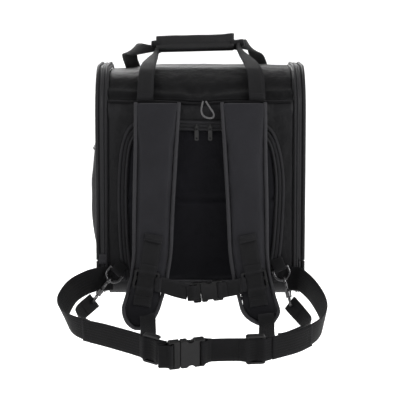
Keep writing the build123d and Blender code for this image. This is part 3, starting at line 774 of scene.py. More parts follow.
def shell():
    wide = steps(-WRAP_HALF - 0.5, WRAP_HALF + 0.5, 4)
    back = wrap("back_wall_cloth", wide, steps(-2, SEAM_S + 3, 3), YOKE, back_out)
    finish(thicken(back, 3.5), "root", "shell_fabric", "back_wall")

    cover = wrap("top_cover_cloth", wide, steps(SEAM_S - 1, FAR_SEAM_S + 1, 3.2), COVER, cover_out)
    finish(finer(thicken(cover, 3.0)), "root", "shell_fabric", "top_cover")

    hem_y, hem_half = 119.2, WRAP_HALF - 1
    line = [(x, -hem_y - 0.8, hem_z(x)) for x in steps(-hem_half, hem_half, 5)]
    roll = tube("top_hem_roll", line, lambda s: 1.5 + 0.3 * noise.noise(Vector((s / 14, 0, 2))), COVER,
                flat=1.2)
    finish(stitches("top_hem_stitches", [[(x, -hem_y, z + 5.2) for x, _, z in line]]), "root", "shell_fabric")
    finish(tube("front_hem_roll", [(x, hem_y, SEAM_Z - 0.4) for x in steps(-hem_half, hem_half, 6)],
                1.8, COVER, flat=1.25), "root", "shell_fabric")
    finish(roll, "root", "shell_fabric", "top_hem")

    base_s = -(LENGTHS[7] + LENGTHS[6] + LENGTHS[5])

    def sag(x, s):
        return 3.4 * ease(-s, 2, 34) * ease(s - base_s, 2, 34) + 0.2 * lump(x, s, 0, 40) - 0.12

    base = wrap("base_cloth", wide, steps(base_s - 1, 1, 5), SIDE, sag)
    finish(thicken(base, 3.5), "root", "shell_fabric", "base_panel")
    welts = [tube(f"base_welt_{n}", [(x, *outline(s, 0.6)) for x in steps(-WRAP_HALF, WRAP_HALF, 8)], 1.5,
                  BINDING) for n, s in (("back", 0), ("front", base_s))]
    finish(joined("base_welts", welts), "root", "shell_fabric")


def front_side():
    """The side away from the harness: a netted window in a bound opening."""
    centre, size, radius = (0.0, 190.0), (200.0, 150.0), 30.0
    low, high = BOTTOM_RADIUS - 1, SEAM_Z + 2

    def shape(u, v, out=0.0):
        return u, *outline(far_s(v), out)

    def skin(u, v, t):
        puff = 1.2 * math.sin(math.pi * min(1, t * 1.1)) + 0.5 * lump(u, 50, v, 45, 2)
        return shape(u, v, out=puff * (1 - ease(t, 0.9, 1)))

    half = WRAP_HALF + 0.5
    corners = [(half, low), (half, high), (-half, high), (-half, low)]
    border = []
    for a, b in zip(corners, corners[1:] + corners[:1]):
        count = int(math.dist(a, b) / 5)
        border += [(a[0] + (b[0] - a[0]) * i / count, a[1] + (b[1] - a[1]) * i / count) for i in range(count)]
    wall = framed("front_wall_cloth", border, rounded(centre, size, radius), centre, 12, SHELL, skin)
    finish(thicken(wall, 3.5), "root", "shell_fabric", "front_wall")
    window = net("front_netting", centre, size, radius, lambda u, v: shape(u, v, out=-2.0))
    finish(window, "root", "mesh", "front_mesh")
    hem = [shape(u, v, out=0.8) for u, v in rounded(centre, (size[0] + 5, size[1] + 5), radius + 2.5, 9)]
    bound = tube("front_window_bound_edge", hem, 4.6, BINDING, closed=True, sides=12, flat=0.45)
    finish(bound, "root", "piping", "front_window_binding")
    for extra in (-1.5, 9.5):
        path = [shape(u, v, out=2.4 if extra < 5 else 1.6)
                for u, v in rounded(centre, (size[0] + 5 + extra, size[1] + 5 + extra), radius + 3, 9)]
        finish(stitches(f"front_window_stitches_{int(extra + 2)}", [path + path[:1]]), "root", "piping")


def rim(name, side, rows, material):
    """Strip all round the outline, whose section is rows of (x, how far out)."""
    rings = [[(side * x, *outline(s, out + 0.25 * noise.noise(Vector((s / 23, x, side))))) for x, out in rows]
             for s in steps(0, ROUND, 5)[:-1]]
    return loft(name, rings, material, closed_path=True)


GUSSET_ROWS = [(143.2, -3.6), (143.2, -0.4), (145, 0.2), (149, 0.8), (150.5, 2.2), (152.2, 2.6), (152.8, 1.4),
               (152.8, -3.4)]
COIL_X = 153.0


def top_of(z):
    """Distances round the outline at height z on the harness side and on the other one."""
    return z - BOTTOM_RADIUS, far_s(z)


def end_panels():
    start, end = top_of(HINGE_Z)
    outer = [outline(s) for s in steps(0, ROUND, 5)[:-1]]
    windows = {"left": ((0.0, 280.0), (150.0, 84.0), 30.0), "right": ((0.0, 200.0), (170.0, 220.0), 60.0)}
    for side, sign in (("left", -1), ("right", 1)):
        gusset = rim(f"gusset_{side}", sign, GUSSET_ROWS, SIDE)
        finish(gusset, "root", "shell_fabric", *on_left(side, "end_gussets"))

        centre, size, radius = windows[side]
        edge = [[(sign * x, *outline(s, out + 0.25 * noise.noise(Vector((s / 21, x, sign + 7)))))
                 for s in steps(0, ROUND, 5)[:-1]]
                for x, out in ((153.2, -3.0), (153.2, 1.4), (154.0, 2.6), (155.8, 2.2), (157.2, 1.0),
                               (160.4, 0.4))]

        def face(y, z, t):
            puff = 2.2 * math.sin(math.pi * min(1.0, t * 1.15) ** 0.7) + 0.8 * lump(y, z, sign * 9, 46, 2)
            puff += 0.4 * lump(y, z, sign * 5, 15, 6)
            return sign * (END_OUT - 1.4 + puff * (1 - ease(t, 0.92, 1)) * ease(t, 0, 0.1)), y, z

        hole = rounded(centre, size, radius)
        for part, body, nodes, limits in (
                ("door", f"door_{side}", [f"door_{side}_panel"], {"low": HINGE_Z + 0.3}),
                ("sill", "root", on_left(side, "end_sills"), {"high": HINGE_Z - 0.3})):
            cap = framed(f"{part}_{side}_cloth", outer, hole, centre, 16, SIDE, face, edge)
            cut(cap, **limits)
            finish(thicken(cap, 3.0), body, "shell_fabric", *nodes)

        window = net(f"door_{side}_netting", centre, size, radius, lambda y, z: (sign * (END_OUT - 3), y, z))
        finish(window, f"door_{side}", "mesh", f"door_{side}_mesh")
        hem = [(sign * (END_OUT + 0.2), y, z)
               for y, z in rounded(centre, (size[0] + 5, size[1] + 5), radius + 2, 9)]
        bound = tube(f"door_{side}_window_edge", hem, 3.4, BINDING, closed=True, sides=12, flat=0.7)
        finish(bound, f"door_{side}", "piping")
        sewn = [(sign * (END_OUT + 1.9), y, z)
                for y, z in rounded(centre, (size[0] + 16, size[1] + 16), radius + 8, 9)]
        finish(stitches(f"door_{side}_window_stitches", [sewn + sewn[:1]]), f"door_{side}", "piping")

        for part, body, x, out, low, high, thick, nodes in (
                ("door", f"door_{side}", 160.9, 1.6, start + 1, end - 1, 2.5, [f"door_{side}_piping"]),
                ("sill", "root", 160.9, 1.6, end + 1 - ROUND, start - 1, 2.5, []),
                ("body", "root", 147.0, 1.8, 2, ROUND - 240, 2.3, on_left(side, "body_pipings"))):
            welt = tube(f"{part}_{side}_welt", loop_path(sign * x, out, low, high), thick, SHELL, sides=10)
            finish(welt, body, "piping", *nodes)

        coil = tube(f"coil_{side}", loop_path(sign * COIL_X, 1.7, start + 2, end - 2, 1.2),
                    lambda s: 1.0 + 0.35 * math.sin(s * 2.6), COIL, sides=6, step=1.2)
        finish(coil, "root", "zip_tape")
        lines = [loop_path(sign * x, out, start, end) for x, out in ((150.2, 2.5), (156.6, 1.9))]
        finish(stitches(f"gusset_{side}_stitches", lines[:1]), "root", "zip_tape")
        finish(stitches(f"door_{side}_rim_stitches", lines[1:]), f"door_{side}", "zip_tape")

        fold = [(sign * (END_OUT - 1.0), y, HINGE_Z) for y in steps(-112, 112, 12)]
        flap = ribbon(f"fold_{side}", fold, [(0, 0, 1)] * len(fold), 13, 2.4, BINDING, step=10)
        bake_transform(flap)

    tab = ribbon("rim_tab", [(-152.5, -122.6, 62), (-152.6, -123.8, 55), (-152.8, -124, 47)], [(1, 0, 0)] * 3,
                 12.5, 2.4, BINDING)
    finish(tab, "root", "shell_fabric")
    box = [(-157.5, -125.4, 49), (-147.8, -125.4, 49), (-147.8, -125.1, 58), (-157.5, -125.1, 58)]
    finish(stitches("rim_tab_stitches", [box + box[:1]]), "root", "shell_fabric")


def pocket():
    """Patch pocket on the left end, gathered into an elastic hem."""
    side = [(-162.6, 57), (-166, 66), (-170, 84), (-172.5, 112), (-173.5, 150), (-171.5, 190), (-168.5, 222)]
    rows = smooth_rows([(x, 0, z) for x, z in side], 5)
    verts = []
    half = 82
    across = steps(-half, half, 5)
    for x, _, z in rows:
        for y in across:
            shut = ease(half - abs(y), 0, 16)
            gather = 1.4 * math.sin(y * 0.62) * ease(z, 185, 222) + 1.3 * lump(y, z, 0, 28, 8)
            verts.append((-162.0 + (x + 162.0) * shut - gather * shut, y, z))
    m = len(across)
    faces = cell_faces(len(rows), m)
    uvs = [(verts[q][1] / 1000, verts[q][2] / 1000) for face in faces for q in face]
    bag = finer(thicken(new_object("pocket_cloth", place(verts), faces, SIDE, uvs), 1.6))
    finish(bag, "door_left", "shell_fabric", "door_left_pocket")
    top = [verts[(len(rows) - 1) * m + k] for k in range(0, m, 2)]
    hem = tube("pocket_hem", [(x - 0.4, y, z + 0.5) for x, y, z in top], 2.6, BINDING, sides=10)
    finish(hem, "door_left", "piping")
    half_edge = [(80, 220), (80, 150), (80, 90), (72, 66), (50, 58)]
    edge = [(-163.2, -y, z) for y, z in half_edge] + [(-163.2, 0, 57.5)]
    edge += [(-163.2, y, z) for y, z in half_edge[::-1]]
    finish(tube("pocket_welt", edge, 1.5, BINDING), "door_left", "piping")


# ---- inside -------------------------------------------------------------------------------------
def inside():
    low, high = size_of("floor_mat")
    half_x, half_y, top = high.x, high.y, high.z
    loops = []
    for inset, z in ((3, low.z), (0.6, low.z + 2), (0, low.z + 4), (0.4, top - 3), (3, top - 0.8), (8, top),
                     (20, top + 0.5)):
        size = (2 * (half_x - inset), 2 * (half_y - inset))
        loops.append([(x, y, z) for x, y in rounded((0, 0), size, 14, 8)])
    flat = np.array(loops[-1])
    for t in (0.7, 0.4, 0.12):
        loops.append([(x, y, top + 0.6 + 0.5 * lump(x, y, 0, 40)) for x, y, _ in flat * [t, t, 1]])
    mat = loft("mat_cloth", loops, FLEECE)
    finish(finer(mat), "root", "mat", "floor_mat")
    low, high = size_of("tether_strap")
    x, y = (low.x + high.x) / 2, (low.y + high.y) / 2
    line = [(x, y, low.z - 4), (x, y - 0.2, low.z + 30), (x, y + 0.3, 150), (x, y, high.z)]
    tether = ribbon("tether_webbing", line, [(1, 0, 0)] * 4, 15, 1.5, WEBBING)
    finish(tether, "root", "webbing", "tether_strap")


# ---- padded back panel and its zip ----------------------------------------------------------------
def arch_points(extra, step=5.0):
    """The back panel's edge, from its left foot over its top to its right foot."""
    half = 115.0 + extra
    rows = [(-half + 7, 21), (-half + 1, 70), (-half - 1.5, 140), (-half - 0.5, 190), (-half + 4.5, 232),
            (-half + 16, 252 + extra * 0.8), (-half + 38, 258.5 + extra), (-40, 259.5 + extra),
            (0, 258.5 + extra), (40, 258.5 + extra), (half - 38, 257 + extra),
            (half - 17, 249 + extra * 0.8), (half - 4, 228), (half + 3.5, 180), (half + 2.5, 120),
            (half - 1, 70), (half - 8, 21)]
    line = smooth_rows([(x, 0, z) for x, z in rows], step)
    return line[:, 0], line[:, 2]


def panel_out(x, z, edge):
    """How far the padded panel stands out; edge is the distance to its own edge."""
    crown = 3.9 * ease(edge, -1, 13) ** 0.6
    fold = 3.4 * math.exp(-((z - 149 - 1.5 * lump(x, 0, 0, 60)) / 2.8) ** 2)
    swell = 0.8 * math.exp(-((z - 157) / 8) ** 2) + 1.5 * math.exp(-((z - 141) / 6) ** 2)
    return crown - fold + swell + 0.9 * lump(x, 0, z, 52, 3) + 0.5 * lump(x, 0, z * 2, 22, 7)


def back_panel():
    xs, zs = arch_points(-1.5, 6)
    centre = np.array((0.0, 120.0))
    border = np.stack([xs, zs], 1)
    foot = np.stack([np.linspace(xs[-1], xs[0], 40)[1:-1], np.full(38, 20.5)], 1)
    border = np.vstack([border, foot])
    rings = []
    for t in [0, 0.012, 0.03, 0.055, 0.09, 0.13, *np.linspace(0.18, 0.98, 26)]:
        row = border + (centre - border) * t
        gap = np.linalg.norm(border - centre, axis=1) * t
        rings.append([(x, -HALF_DEPTH - 0.1 - max(0.0, panel_out(x, z, g)), z)
                      for (x, z), g in zip(row, gap)])
    count = len(border)
    verts = [p for ring in rings for p in ring] + [(0, -HALF_DEPTH - 4, 120)]
    faces = cell_faces(len(rings), count, loop_columns=True)
    last = (len(rings) - 1) * count
    faces += [(last + k, last + (k + 1) % count, len(verts) - 1) for k in range(count)]
    uvs = [(verts[v][0] / 1000, verts[v][2] / 1000) for face in faces for v in face]
    pad = new_object("back_pad_cloth", place(verts), faces, DEEP, uvs)
    finish(pad, "root", "pad_fabric", "back_pad")

    def line(extra, out):
        return [(x, -HALF_DEPTH - out, z) for x, z in zip(*arch_points(extra))]

    inner = tube("back_zip_inner_welt", line(-0.6, 2.2), 2.5, TAPE, sides=10)
    finish(inner, "root", "zip_tape", "back_zip_tape")
    spread = line(4.9, 2.6)
    ahead = tangents(np.array(spread))
    across = [np.cross(a, (0, -1, 0)) for a in ahead]
    finish(ribbon("back_zip_flap", spread, across, 4.4, 2.6, TAPE), "root", "zip_tape")
    outer = tube("back_zip_outer_welt", line(10.0, 1.8), 3.1, TAPE, sides=12)
    finish(outer, "root", "piping")
    coil = tube("back_coil", line(2.1, 1.7), lambda s: 0.9 + 0.3 * math.sin(s * 2.6), COIL, sides=6, step=1.2)
    finish(coil, "root", "zip_tape")
    sewn = [line(6.0, 3.6), line(-3.6, 3.0)]
    finish(stitches("back_zip_stitches", sewn), "root", "zip_tape")


HANG_LOOP = [(4, -127, 302), (0.5, -128, 291), (2.5, -129.5, 280), (11, -130.5, 275.5), (20, -130, 276),
             (21, -129.5, 283), (14, -128.5, 292), (8, -127, 302)]


def hang_loop():
    """The cord loop that hangs from the hem above the back panel's zip."""
    data = bpy.data.curves.new("hang_loop_cord", "CURVE")
    data.dimensions = "3D"
    spline = data.splines.new("NURBS")
    spline.points.add(len(HANG_LOOP) - 1)
    for point, where in zip(spline.points, place(HANG_LOOP)):
        point.co = (*where, 1)
    spline.order_u = 3
    spline.use_endpoint_u = True
    spline.resolution_u = 10
    data.bevel_depth = 0.0013
    data.bevel_resolution = 4
    data.use_fill_caps = True
    data.materials.append(CORD)
    obj = bpy.data.objects.new("hang_loop_cord", data)
    bpy.context.scene.collection.objects.link(obj)
    finish(obj, "root", "hang_cord", "hang_loop")


# ---- shoulder pads ------------------------------------------------------------------------------
PAD_SIDE = [(-126.8, 299), (-133, 285), (-138, 270), (-146, 215), (-150, 140), (-152, 80), (-152.5, 40),
            (-153, 8), (-158, -18), (-166, -46)]
PAD_UPPER = [(299, 32, 101), (235, 36, 101), (150, 41, 103), (70, 45, 104), (36, 50, 107), (2, 58, 115)]
PAD_TIPS = {"right": [(-14, 62, 120), (-22, 65, 122), (-30, 71, 119), (-37, 82, 114), (-41, 92, 110)],
            "left": [(-14, 63, 120), (-24, 67, 120), (-34, 73, 117), (-42, 82, 111), (-47, 90, 103)]}


def pad_rows(side, step):
    """x of the middle, y, z and half the width along a pad."""
    depth_z = [z for _, z in PAD_SIDE][::-1]
    depth_y = [y for y, _ in PAD_SIDE][::-1]
    widths = (PAD_UPPER + PAD_TIPS[side])[::-1]
    levels = [299, 270, 235, 190, 150, 110, 70, 36, 18, 2, -8] + [row[0] for row in PAD_TIPS[side]]
    rows = []
    for z in levels:
        inner = np.interp(z, [r[0] for r in widths], [r[1] for r in widths])
        outer = np.interp(z, [r[0] for r in widths], [r[2] for r in widths])
        rows.append(((inner + outer) / 2, float(np.interp(z, depth_z, depth_y)), z, (outer - inner) / 2))
    return smooth_rows(rows, step)


def inflate(obj, fill, most):
    """Swells a closed mesh as a stuffed cloth and caps how far any point moves, in metres."""
    remesh = obj.modifiers.new("remesh", "REMESH")
    remesh.mode = "VOXEL"
    remesh.voxel_size = 0.0034
    depsgraph = bpy.context.evaluated_depsgraph_get()
    mesh = bpy.data.meshes.new_from_object(obj.evaluated_get(depsgraph))
    obj.modifiers.remove(remesh)
    material = obj.data.materials[0]
    obj.data = mesh
    mesh.materials.clear()
    mesh.materials.append(material)
    start = np.empty(len(mesh.vertices) * 3)
    mesh.vertices.foreach_get("co", start)
    cloth = obj.modifiers.new("cloth", "CLOTH")
    settings = cloth.settings
    settings.quality = 5
    settings.mass = 0.25
    settings.tension_stiffness = settings.compression_stiffness = 18
    settings.shear_stiffness = 10
    settings.bending_stiffness = 0.35
    settings.use_pressure = True
    settings.uniform_pressure_force = fill
    settings.effector_weights.gravity = 0
    cloth.collision_settings.use_collision = False
    scene = bpy.context.scene
    for step in range(1, 19):
        scene.frame_set(step)
    depsgraph = bpy.context.evaluated_depsgraph_get()
    swollen = obj.evaluated_get(depsgraph).to_mesh()
    end = np.empty(len(swollen.vertices) * 3)
    swollen.vertices.foreach_get("co", end)
    obj.evaluated_get(depsgraph).to_mesh_clear()
    obj.modifiers.remove(cloth)
    move = (end - start).reshape(-1, 3)
    size = np.linalg.norm(move, axis=1, keepdims=True)
    move *= np.minimum(1, most / np.maximum(size, 1e-9))
    mesh.vertices.foreach_set("co", (start.reshape(-1, 3) + move).ravel())
    mesh.update()
    scene.frame_set(1)


def flat_uv(obj):
    """UVs straight from x and z, for pieces that face the harness side."""
    mesh = obj.data
    while mesh.uv_layers:
        mesh.uv_layers.remove(mesh.uv_layers[0])
    layer = mesh.uv_layers.new(name="UVMap")
    co = np.empty(len(mesh.vertices) * 3)
    mesh.vertices.foreach_get("co", co)
    co = co.reshape(-1, 3)
    corner = np.empty(len(mesh.loops), int)
    mesh.loops.foreach_get("vertex_index", corner)
    layer.data.foreach_set("uv", co[corner][:, [0, 2]].ravel())
    mesh.polygons.foreach_set("use_smooth", [True] * len(mesh.polygons))


def shoulder_pads():
    for side, sign in (("left", -1), ("right", 1)):
        rows = pad_rows(side, 4.0)
        centre = rows[:, :3] * [sign, 1, 1]
        half = rows[:, 3]
        slope = tangents(rows[:, 1:3])
        rings, front_in, front_out = [], [], []
        across = np.linspace(-1, 1, 15)
        for (x, y, z), w, (dy, dz) in zip(centre, half, slope):
            face_y, face_z = (dz, -dy) if dz < 0 else (-dz, dy)
            body = min(1.0, w / 26)
            w = max(0.5, w - 1.2)
            top, low = [], []
            for u in across:
                depth = body * (1.7 + 3.3 * (1 - abs(u) ** 3.2))
                folds = 0.8 * lump(x + u * w, y, z, 34, sign) + 0.3 * lump(x, u, z * 2.5, 16, 4)
                depth += body * folds * (1 - abs(u) ** 3)
                top.append((x + u * w, y + face_y * depth, z + face_z * depth))
                low.append((x + u * w, y - face_y * depth * 0.85, z - face_z * depth * 0.85))
            rings.append(top + low[::-1])
            shift = 1.2 * body
            front_in.append((x - w, y + face_y * shift, z + face_z * shift))
            front_out.append((x + w, y + face_y * shift, z + face_z * shift))
        pad = loft(f"shoulder_pad_{side}_cloth", rings, PAD)
        inflate(pad, 2.2, 0.0022)
        finer(pad)
        flat_uv(pad)
        finish(pad, "root", "pad_fabric", f"shoulder_pad_{side}")
        edge = front_in + front_out[::-1]
        keep = [edge[0]]
        for point in edge[1:]:
            if math.dist(point, keep[-1]) > 3.5:
                keep.append(point)
        bind = tube(f"shoulder_pad_{side}_binding", keep,
                    lambda s: 3.1 + 0.25 * noise.noise(Vector((s / 11, 0, 1))), BINDING, sides=10, step=3.5)
        finish(bind, "root", "pad_fabric")
        seam = []
        for line, way in ((front_in, 1), (front_out, -1)):
            seam.append([(x + way * 4.6, y - 3.4, z) for (x, y, z), w in zip(line, half) if w > 14])
        finish(stitches(f"shoulder_pad_{side}_stitches", seam), "root", "pad_fabric")


def web_box(centre, along, across, facing, length, width):
    """Line of a stitched box on a piece of webbing."""
    c, a, b, f = (np.asarray(v, float) for v in (centre, along, across, facing))
    a, b, f = unit(a), unit(b), unit(f)
    corner = [c + f * 0.2 + a * (length / 2 * i) + b * (width / 2 * k)
              for i, k in ((-1, -1), (-1, 1), (1, 1), (1, -1))]
    return [corner + corner[:1]]


FACE = [(71.5, -158.8, 97), (75.5, -160.5, 75), (78.5, -161.5, 58), (83.8, -162.2, 28),
        (88, -161.8, 4), (90.5, -166.0, -12)]


def local_path(origin, along, facing, points):
    """Points (along, facing) in a fitting's own frame, with its across direction."""
    along = unit(np.array(along, float))
    facing = np.array(facing, float)
    facing = unit(facing - along * np.dot(facing, along))
    side = np.cross(facing, along)
    return [np.array(origin) + along * a + facing * c for a, c in points], side


def weave(name, origin, along, facing, length, width, material, layers=1.0):
    """Webbing that rises over both outer bars of an adjuster and dips to its middle bar."""
    reach, high = length / 2, 3.9 + 0.9 * layers
    half = [(reach - 6.5, high - 2.2), (reach - 2.1, high), (reach + 2.5, high - 1.6), (reach + 9, 0.6)]
    spots = [(-a, c) for a, c in half[::-1]] + [(0, 1.5)] + half
    line, side = local_path(origin, along, facing, spots)
    return ribbon(name, line, [side] * len(line), width, 1.9, material, step=2.0, ruffle=0.1)


def bar_loop(name, origin, along, facing, bar, slot, depth, reach, width, material):
    """Webbing folded round a buckle's end bar, from the bar's outer side through its slot."""
    way = math.copysign(1, bar - slot)
    spots = [(bar + way * reach, 1.3), (bar + way * 5, depth * 0.75), (bar + way * 0.8, depth + 1.2),
             (bar - way * 2.8, depth + 1.3), (slot, depth * 0.4), (slot, -depth * 0.4),
             (bar - way * 2.8, -depth - 1.2), (bar + way * 0.8, -depth - 1.1), (bar + way * 5, -depth * 0.75),
             (bar + way * reach, -1.3)]
    line, side = local_path(origin, along, facing, spots)
    return ribbon(name, line, [side] * len(line), width, 1.8, material, step=2.0, ruffle=0.05)


def pad_webbings():
    for side, sign in (("left", -1), ("right", 1)):
        line = [(sign * x, y, z) for x, y, z in FACE]
        facing = [(1, 0, sign * 0.2)] * len(line)
        web = ribbon(f"pad_webbing_{side}", line, facing, 27.5, WEB_THICK, WEBBING)
        hem = [(sign * 71.2, -161.2, 98.2), (sign * 72.4, -161.8, 92.5), (sign * 73.6, -162.3, 87.4)]
        fold = ribbon(f"pad_webbing_fold_{side}", hem, facing[:3], 27.5, 2.4, WEBBING)
        over = weave(f"pad_webbing_over_{side}", (sign * 83.8, -162.0, 28), (-sign * 0.173, 0, 0.985),
                     (0, -1, 0), 30.0, 27.0, WEBBING)
        finish(over, "sternum_strap", "webbing")
        both = joined(f"pad_webbing_{side}_cloth", [web, fold])
        finish(both, "root", "webbing", *on_left(side, "shoulder_webbings"))
        lines = web_box((sign * 72.6, -163.4, 92.6), (sign * 0.05, 0, 1), (1, 0, sign * 0.2), (0, -1, 0),
                        7, 24)
        lines += web_box((sign * 90.2, -166.4, -8), (sign * 0.1, 0.3, 1), (1, 0, 0), (0, -1, 0.3), 11, 22)
        finish(stitches(f"pad_webbing_{side}_stitches", lines), "root", "webbing")


# ---- sternum strap ------------------------------------------------------------------------------
def sternum_strap():
    left = [(-64.0, -163.2, 22), (-52, -163.2, 18.2), (-36, -163.4, 13), (-19, -163.2, 8.8)]
    tilt = [(0.30, 0, 1)] * 2 + [(0.22, 0, 1)] * 2
    strap = ribbon("sternum_webbing_left", left, tilt, WEB_WIDE, 2.2, WEBBING)
    finish(strap, "sternum_strap", "webbing", "sternum_strap_left")
    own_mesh(strap)
    right = [(27.5, -162.6, 11.5), (37, -163, 13), (52, -163, 16), (63.2, -163, 18.8)]
    strap = ribbon("sternum_webbing_right", right, [(-0.2, 0, 1)] * 4, WEB_WIDE, 2.2, WEBBING)
    finish(strap, "sternum_strap", "webbing", "sternum_strap_right")
    spot = ((0.5, -163, 9.2), (1, 0, 0.11), (0, -1, 0))
    finish(bar_loop("sternum_plug_web", *spot, -11.4, -2.9, 3.8, 10, 24, WEBBING), "sternum_plug", "webbing")
    finish(bar_loop("sternum_socket_web", *spot, 32.0, 25.6, 4.6, 8, 24, WEBBING), "sternum_strap", "webbing")
    for side, sign in (("left", -1), ("right", 1)):
        centre = (sign * 66.5, -164.5, 21)
        loop = [(sign * 60.5, -163.6, 20), (sign * 66, -165.6, 21), (sign * 71, -164.8, 22)]
        tab = ribbon(f"sternum_tab_{side}", loop, [(0, 0, 1)] * 3, 22, 1.8, WEBBING)
        lines = [[(x, y - 2.2, z) for x, y, z in part]
                 for part in web_box(centre, (1, 0, 0.1), (0, 0, 1), (0, -1, 0), 7, 16)]
        for piece in (tab, stitches(f"sternum_stitches_{side}", lines)):
            finish(piece, "sternum_strap", "webbing")


# ---- waist belt ---------------------------------------------------------------------------------
BELT_LEFT = [(-137.5, -124.6, 24), (-143, -126.2, 24), (-150, -128.2, 24), (-157, -130.6, 24),
             (-175.5, -139.5, 20.5), (-196.5, -166, 12), (-207.5, -200, -1), (-207, -227, -12),
             (-196.5, -251.5, -20), (-174, -269, -27), (-141, -285, -32), (-108, -301, -37.5),
             (-84, -314, -42), (-58, -328, -46.8), (-49, -331.5, -48)]
LEAN_LEFT = ([(0, 0, 1)] * 4
             + [(-0.1, -0.05, 1), (-0.3, -0.1, 1), (-0.45, -0.15, 1), (-0.45, -0.2, 1), (-0.35, -0.25, 1),
                (-0.2, -0.28, 1), (-0.1, -0.28, 1), (-0.05, -0.28, 1)]
             + [(0, -0.28, 1)] * 3)
BELT_RIGHT = [(137.5, -124.6, 24), (143, -126.2, 24), (150, -128.2, 24), (155, -132.2, 23.6), (166, -150, 17),
              (178, -182, 6), (185, -212, -5), (186.5, -240, -15), (179, -265, -24), (163, -286, -31.5),
              (140, -302, -38), (104, -320, -43.5), (66, -324, -45.5), (52, -324, -45.5)]
LEAN_RIGHT = ([(0, 0, 1)] * 4
              + [(0.08, -0.05, 1), (0.16, -0.1, 1), (0.2, -0.15, 1), (0.2, -0.2, 1), (0.16, -0.25, 1),
                 (0.1, -0.28, 1), (0.05, -0.28, 1)]
              + [(0, -0.28, 1)] * 3)
WAIST_FRAME = ((-30, -335.5, -49.3), (0.965, 0.25, 0.07), (0.24, -0.93, -0.26))
LEFT_SLIDE = ((-71, -321, -44.4), (0.87, -0.475, -0.16), (-0.47, -0.85, -0.25))
RIGHT_SLIDE = ((80, -322.7, -44.9), (1, 0.09, 0.03), (0.08, -0.95, -0.27))


def offset_line(points, across, amount):
    """The same line moved off the webbing's face, towards whoever looks at the harness."""
    line = np.array(points, float)
    ahead = tangents(line)
    face = unit(np.cross(ahead, np.array(across, float)))
    outward = line - np.array([0, -200, -20])
    flip = np.sign(np.sum(face * outward, axis=1))
    flip[flip == 0] = 1
    return line + face * flip[:, None] * amount


def waist_belt():
    for side, sign, line, lean, where in (("left", -1, BELT_LEFT, LEAN_LEFT, slice(9, 13)),
                                          ("right", 1, BELT_RIGHT, LEAN_RIGHT, slice(9, 12))):
        single = ribbon(f"waist_webbing_{side}", line, lean, BELT_WIDE, WEB_THICK, BELT, ruffle=0.7)
        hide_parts(f"waist_belt_{side}")
        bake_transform(single)
        outer = offset_line(line, lean, 2.3)[where]
        tail = ribbon(f"waist_tail_{side}", outer, lean[where], BELT_WIDE, WEB_THICK, BELT, ruffle=0.5)
        finish(tail, "waist_belt", "webbing")
        end = outer[0]
        way = unit(outer[1] - outer[0])
        rise = np.array(lean[where][0], float)
        face = frontward(unit(np.cross(way, rise)))
        lines = web_box(end + way * 6 + face * 1.1, way, rise, face, 8, 33)
        lines.append([end + way * 13 + face * 1.1 + unit(rise) * s for s in (-16.5, 0, 16.5)])
        finish(stitches(f"waist_tail_stitches_{side}", lines), "waist_belt", "webbing")

    for name, spot, length in (("left", LEFT_SLIDE, 27.0), ("right", RIGHT_SLIDE, 29.0)):
        finish(weave(f"waist_slide_{name}_web", *spot, length, BELT_LOOP_WIDE, BELT, layers=1.6),
               "waist_belt", "webbing")
    for name, body, sizes in (("waist_plug_web", "waist_belt", (-15.9, -10.4, 5.0, 16)),
                              ("waist_socket_web", "waist_socket", (35.0, 30.6, 5.8, 13))):
        finish(bar_loop(name, *WAIST_FRAME, *sizes, BELT_LOOP_WIDE, BELT), body, "webbing")
    double = [(67, -324, -45.5), (36, -324, -45.6), (12.5, -324.7, -46.4)]
    short = ribbon("waist_socket_cloth", double, [(0, -0.28, 1)] * 3, 37, 3.8, BELT)
    finish(short, "waist_belt", "webbing", "waist_socket_webbing")
    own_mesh(short)


# ---- hooks' webbing -----------------------------------------------------------------------------
TAIL_LEFT = [(-167.5, -153, -8), (-175, -161, -13.5), (-183, -174, -19), (-186, -192, -24), (-181, -213, -28),
             (-170, -231, -31), (-155, -248, -34), (-136, -260, -38), (-112, -266, -43), (-92, -254, -50),
             (-81, -226, -51), (-80, -195, -46), (-81, -172, -38), (-82, -163, -24)]
TAIL_RIGHT = [(141, -153, -12), (149, -162, -20), (157.5, -176, -28), (163, -194, -32), (165, -215, -34),
              (162, -237, -34), (153, -258, -34), (140, -274, -36), (120, -284, -41), (106, -268, -47),
              (101, -236, -48), (101, -200, -44), (102, -176, -38), (101, -165, -24)]
TAIL_ACROSS = [(-0.60, 0.05, 0.80), (-0.60, 0.05, 0.80), (-0.52, 0, 0.85), (-0.40, 0, 0.92), (-0.25, 0, 1),
               (-0.1, -0.1, 1), (0, -0.2, 1), (0, -0.2, 1), (-0.35, -0.1, 0.9), (-0.8, 0, 0.6), (-1, 0, 0.3),
               (-1, 0, 0.2), (-1, 0, 0.2), (-1, 0, 0.1)]


def tails():
    for side, line in (("left", TAIL_LEFT), ("right", TAIL_RIGHT)):
        across = TAIL_ACROSS if side == "left" else [(-x, y, z) for x, y, z in TAIL_ACROSS]
        main = ribbon(f"hook_webbing_{side}", line, across, WEB_WIDE, WEB_THICK, WEBBING, ruffle=0.6)
        a, b = np.array(line[0], float), np.array(line[1], float)
        way = unit(b - a)
        face = frontward(unit(np.cross(way, np.array(across[0], float))))
        turn = [a + way * along + face * out
                for along, out in ((22, 2.2), (8, 3.0), (-1.5, 2.6), (-3.6, 0), (-1.2, -2.0), (7, -1.0))]
        fold = ribbon(f"hook_fold_{side}", turn, [across[0]] * 6, 24.0, 1.8, WEBBING, step=2.0)
        both = joined(f"hook_webbing_{side}_cloth", [main, fold])
        finish(both, "root", "webbing", *on_left(side, "strap_tails"))


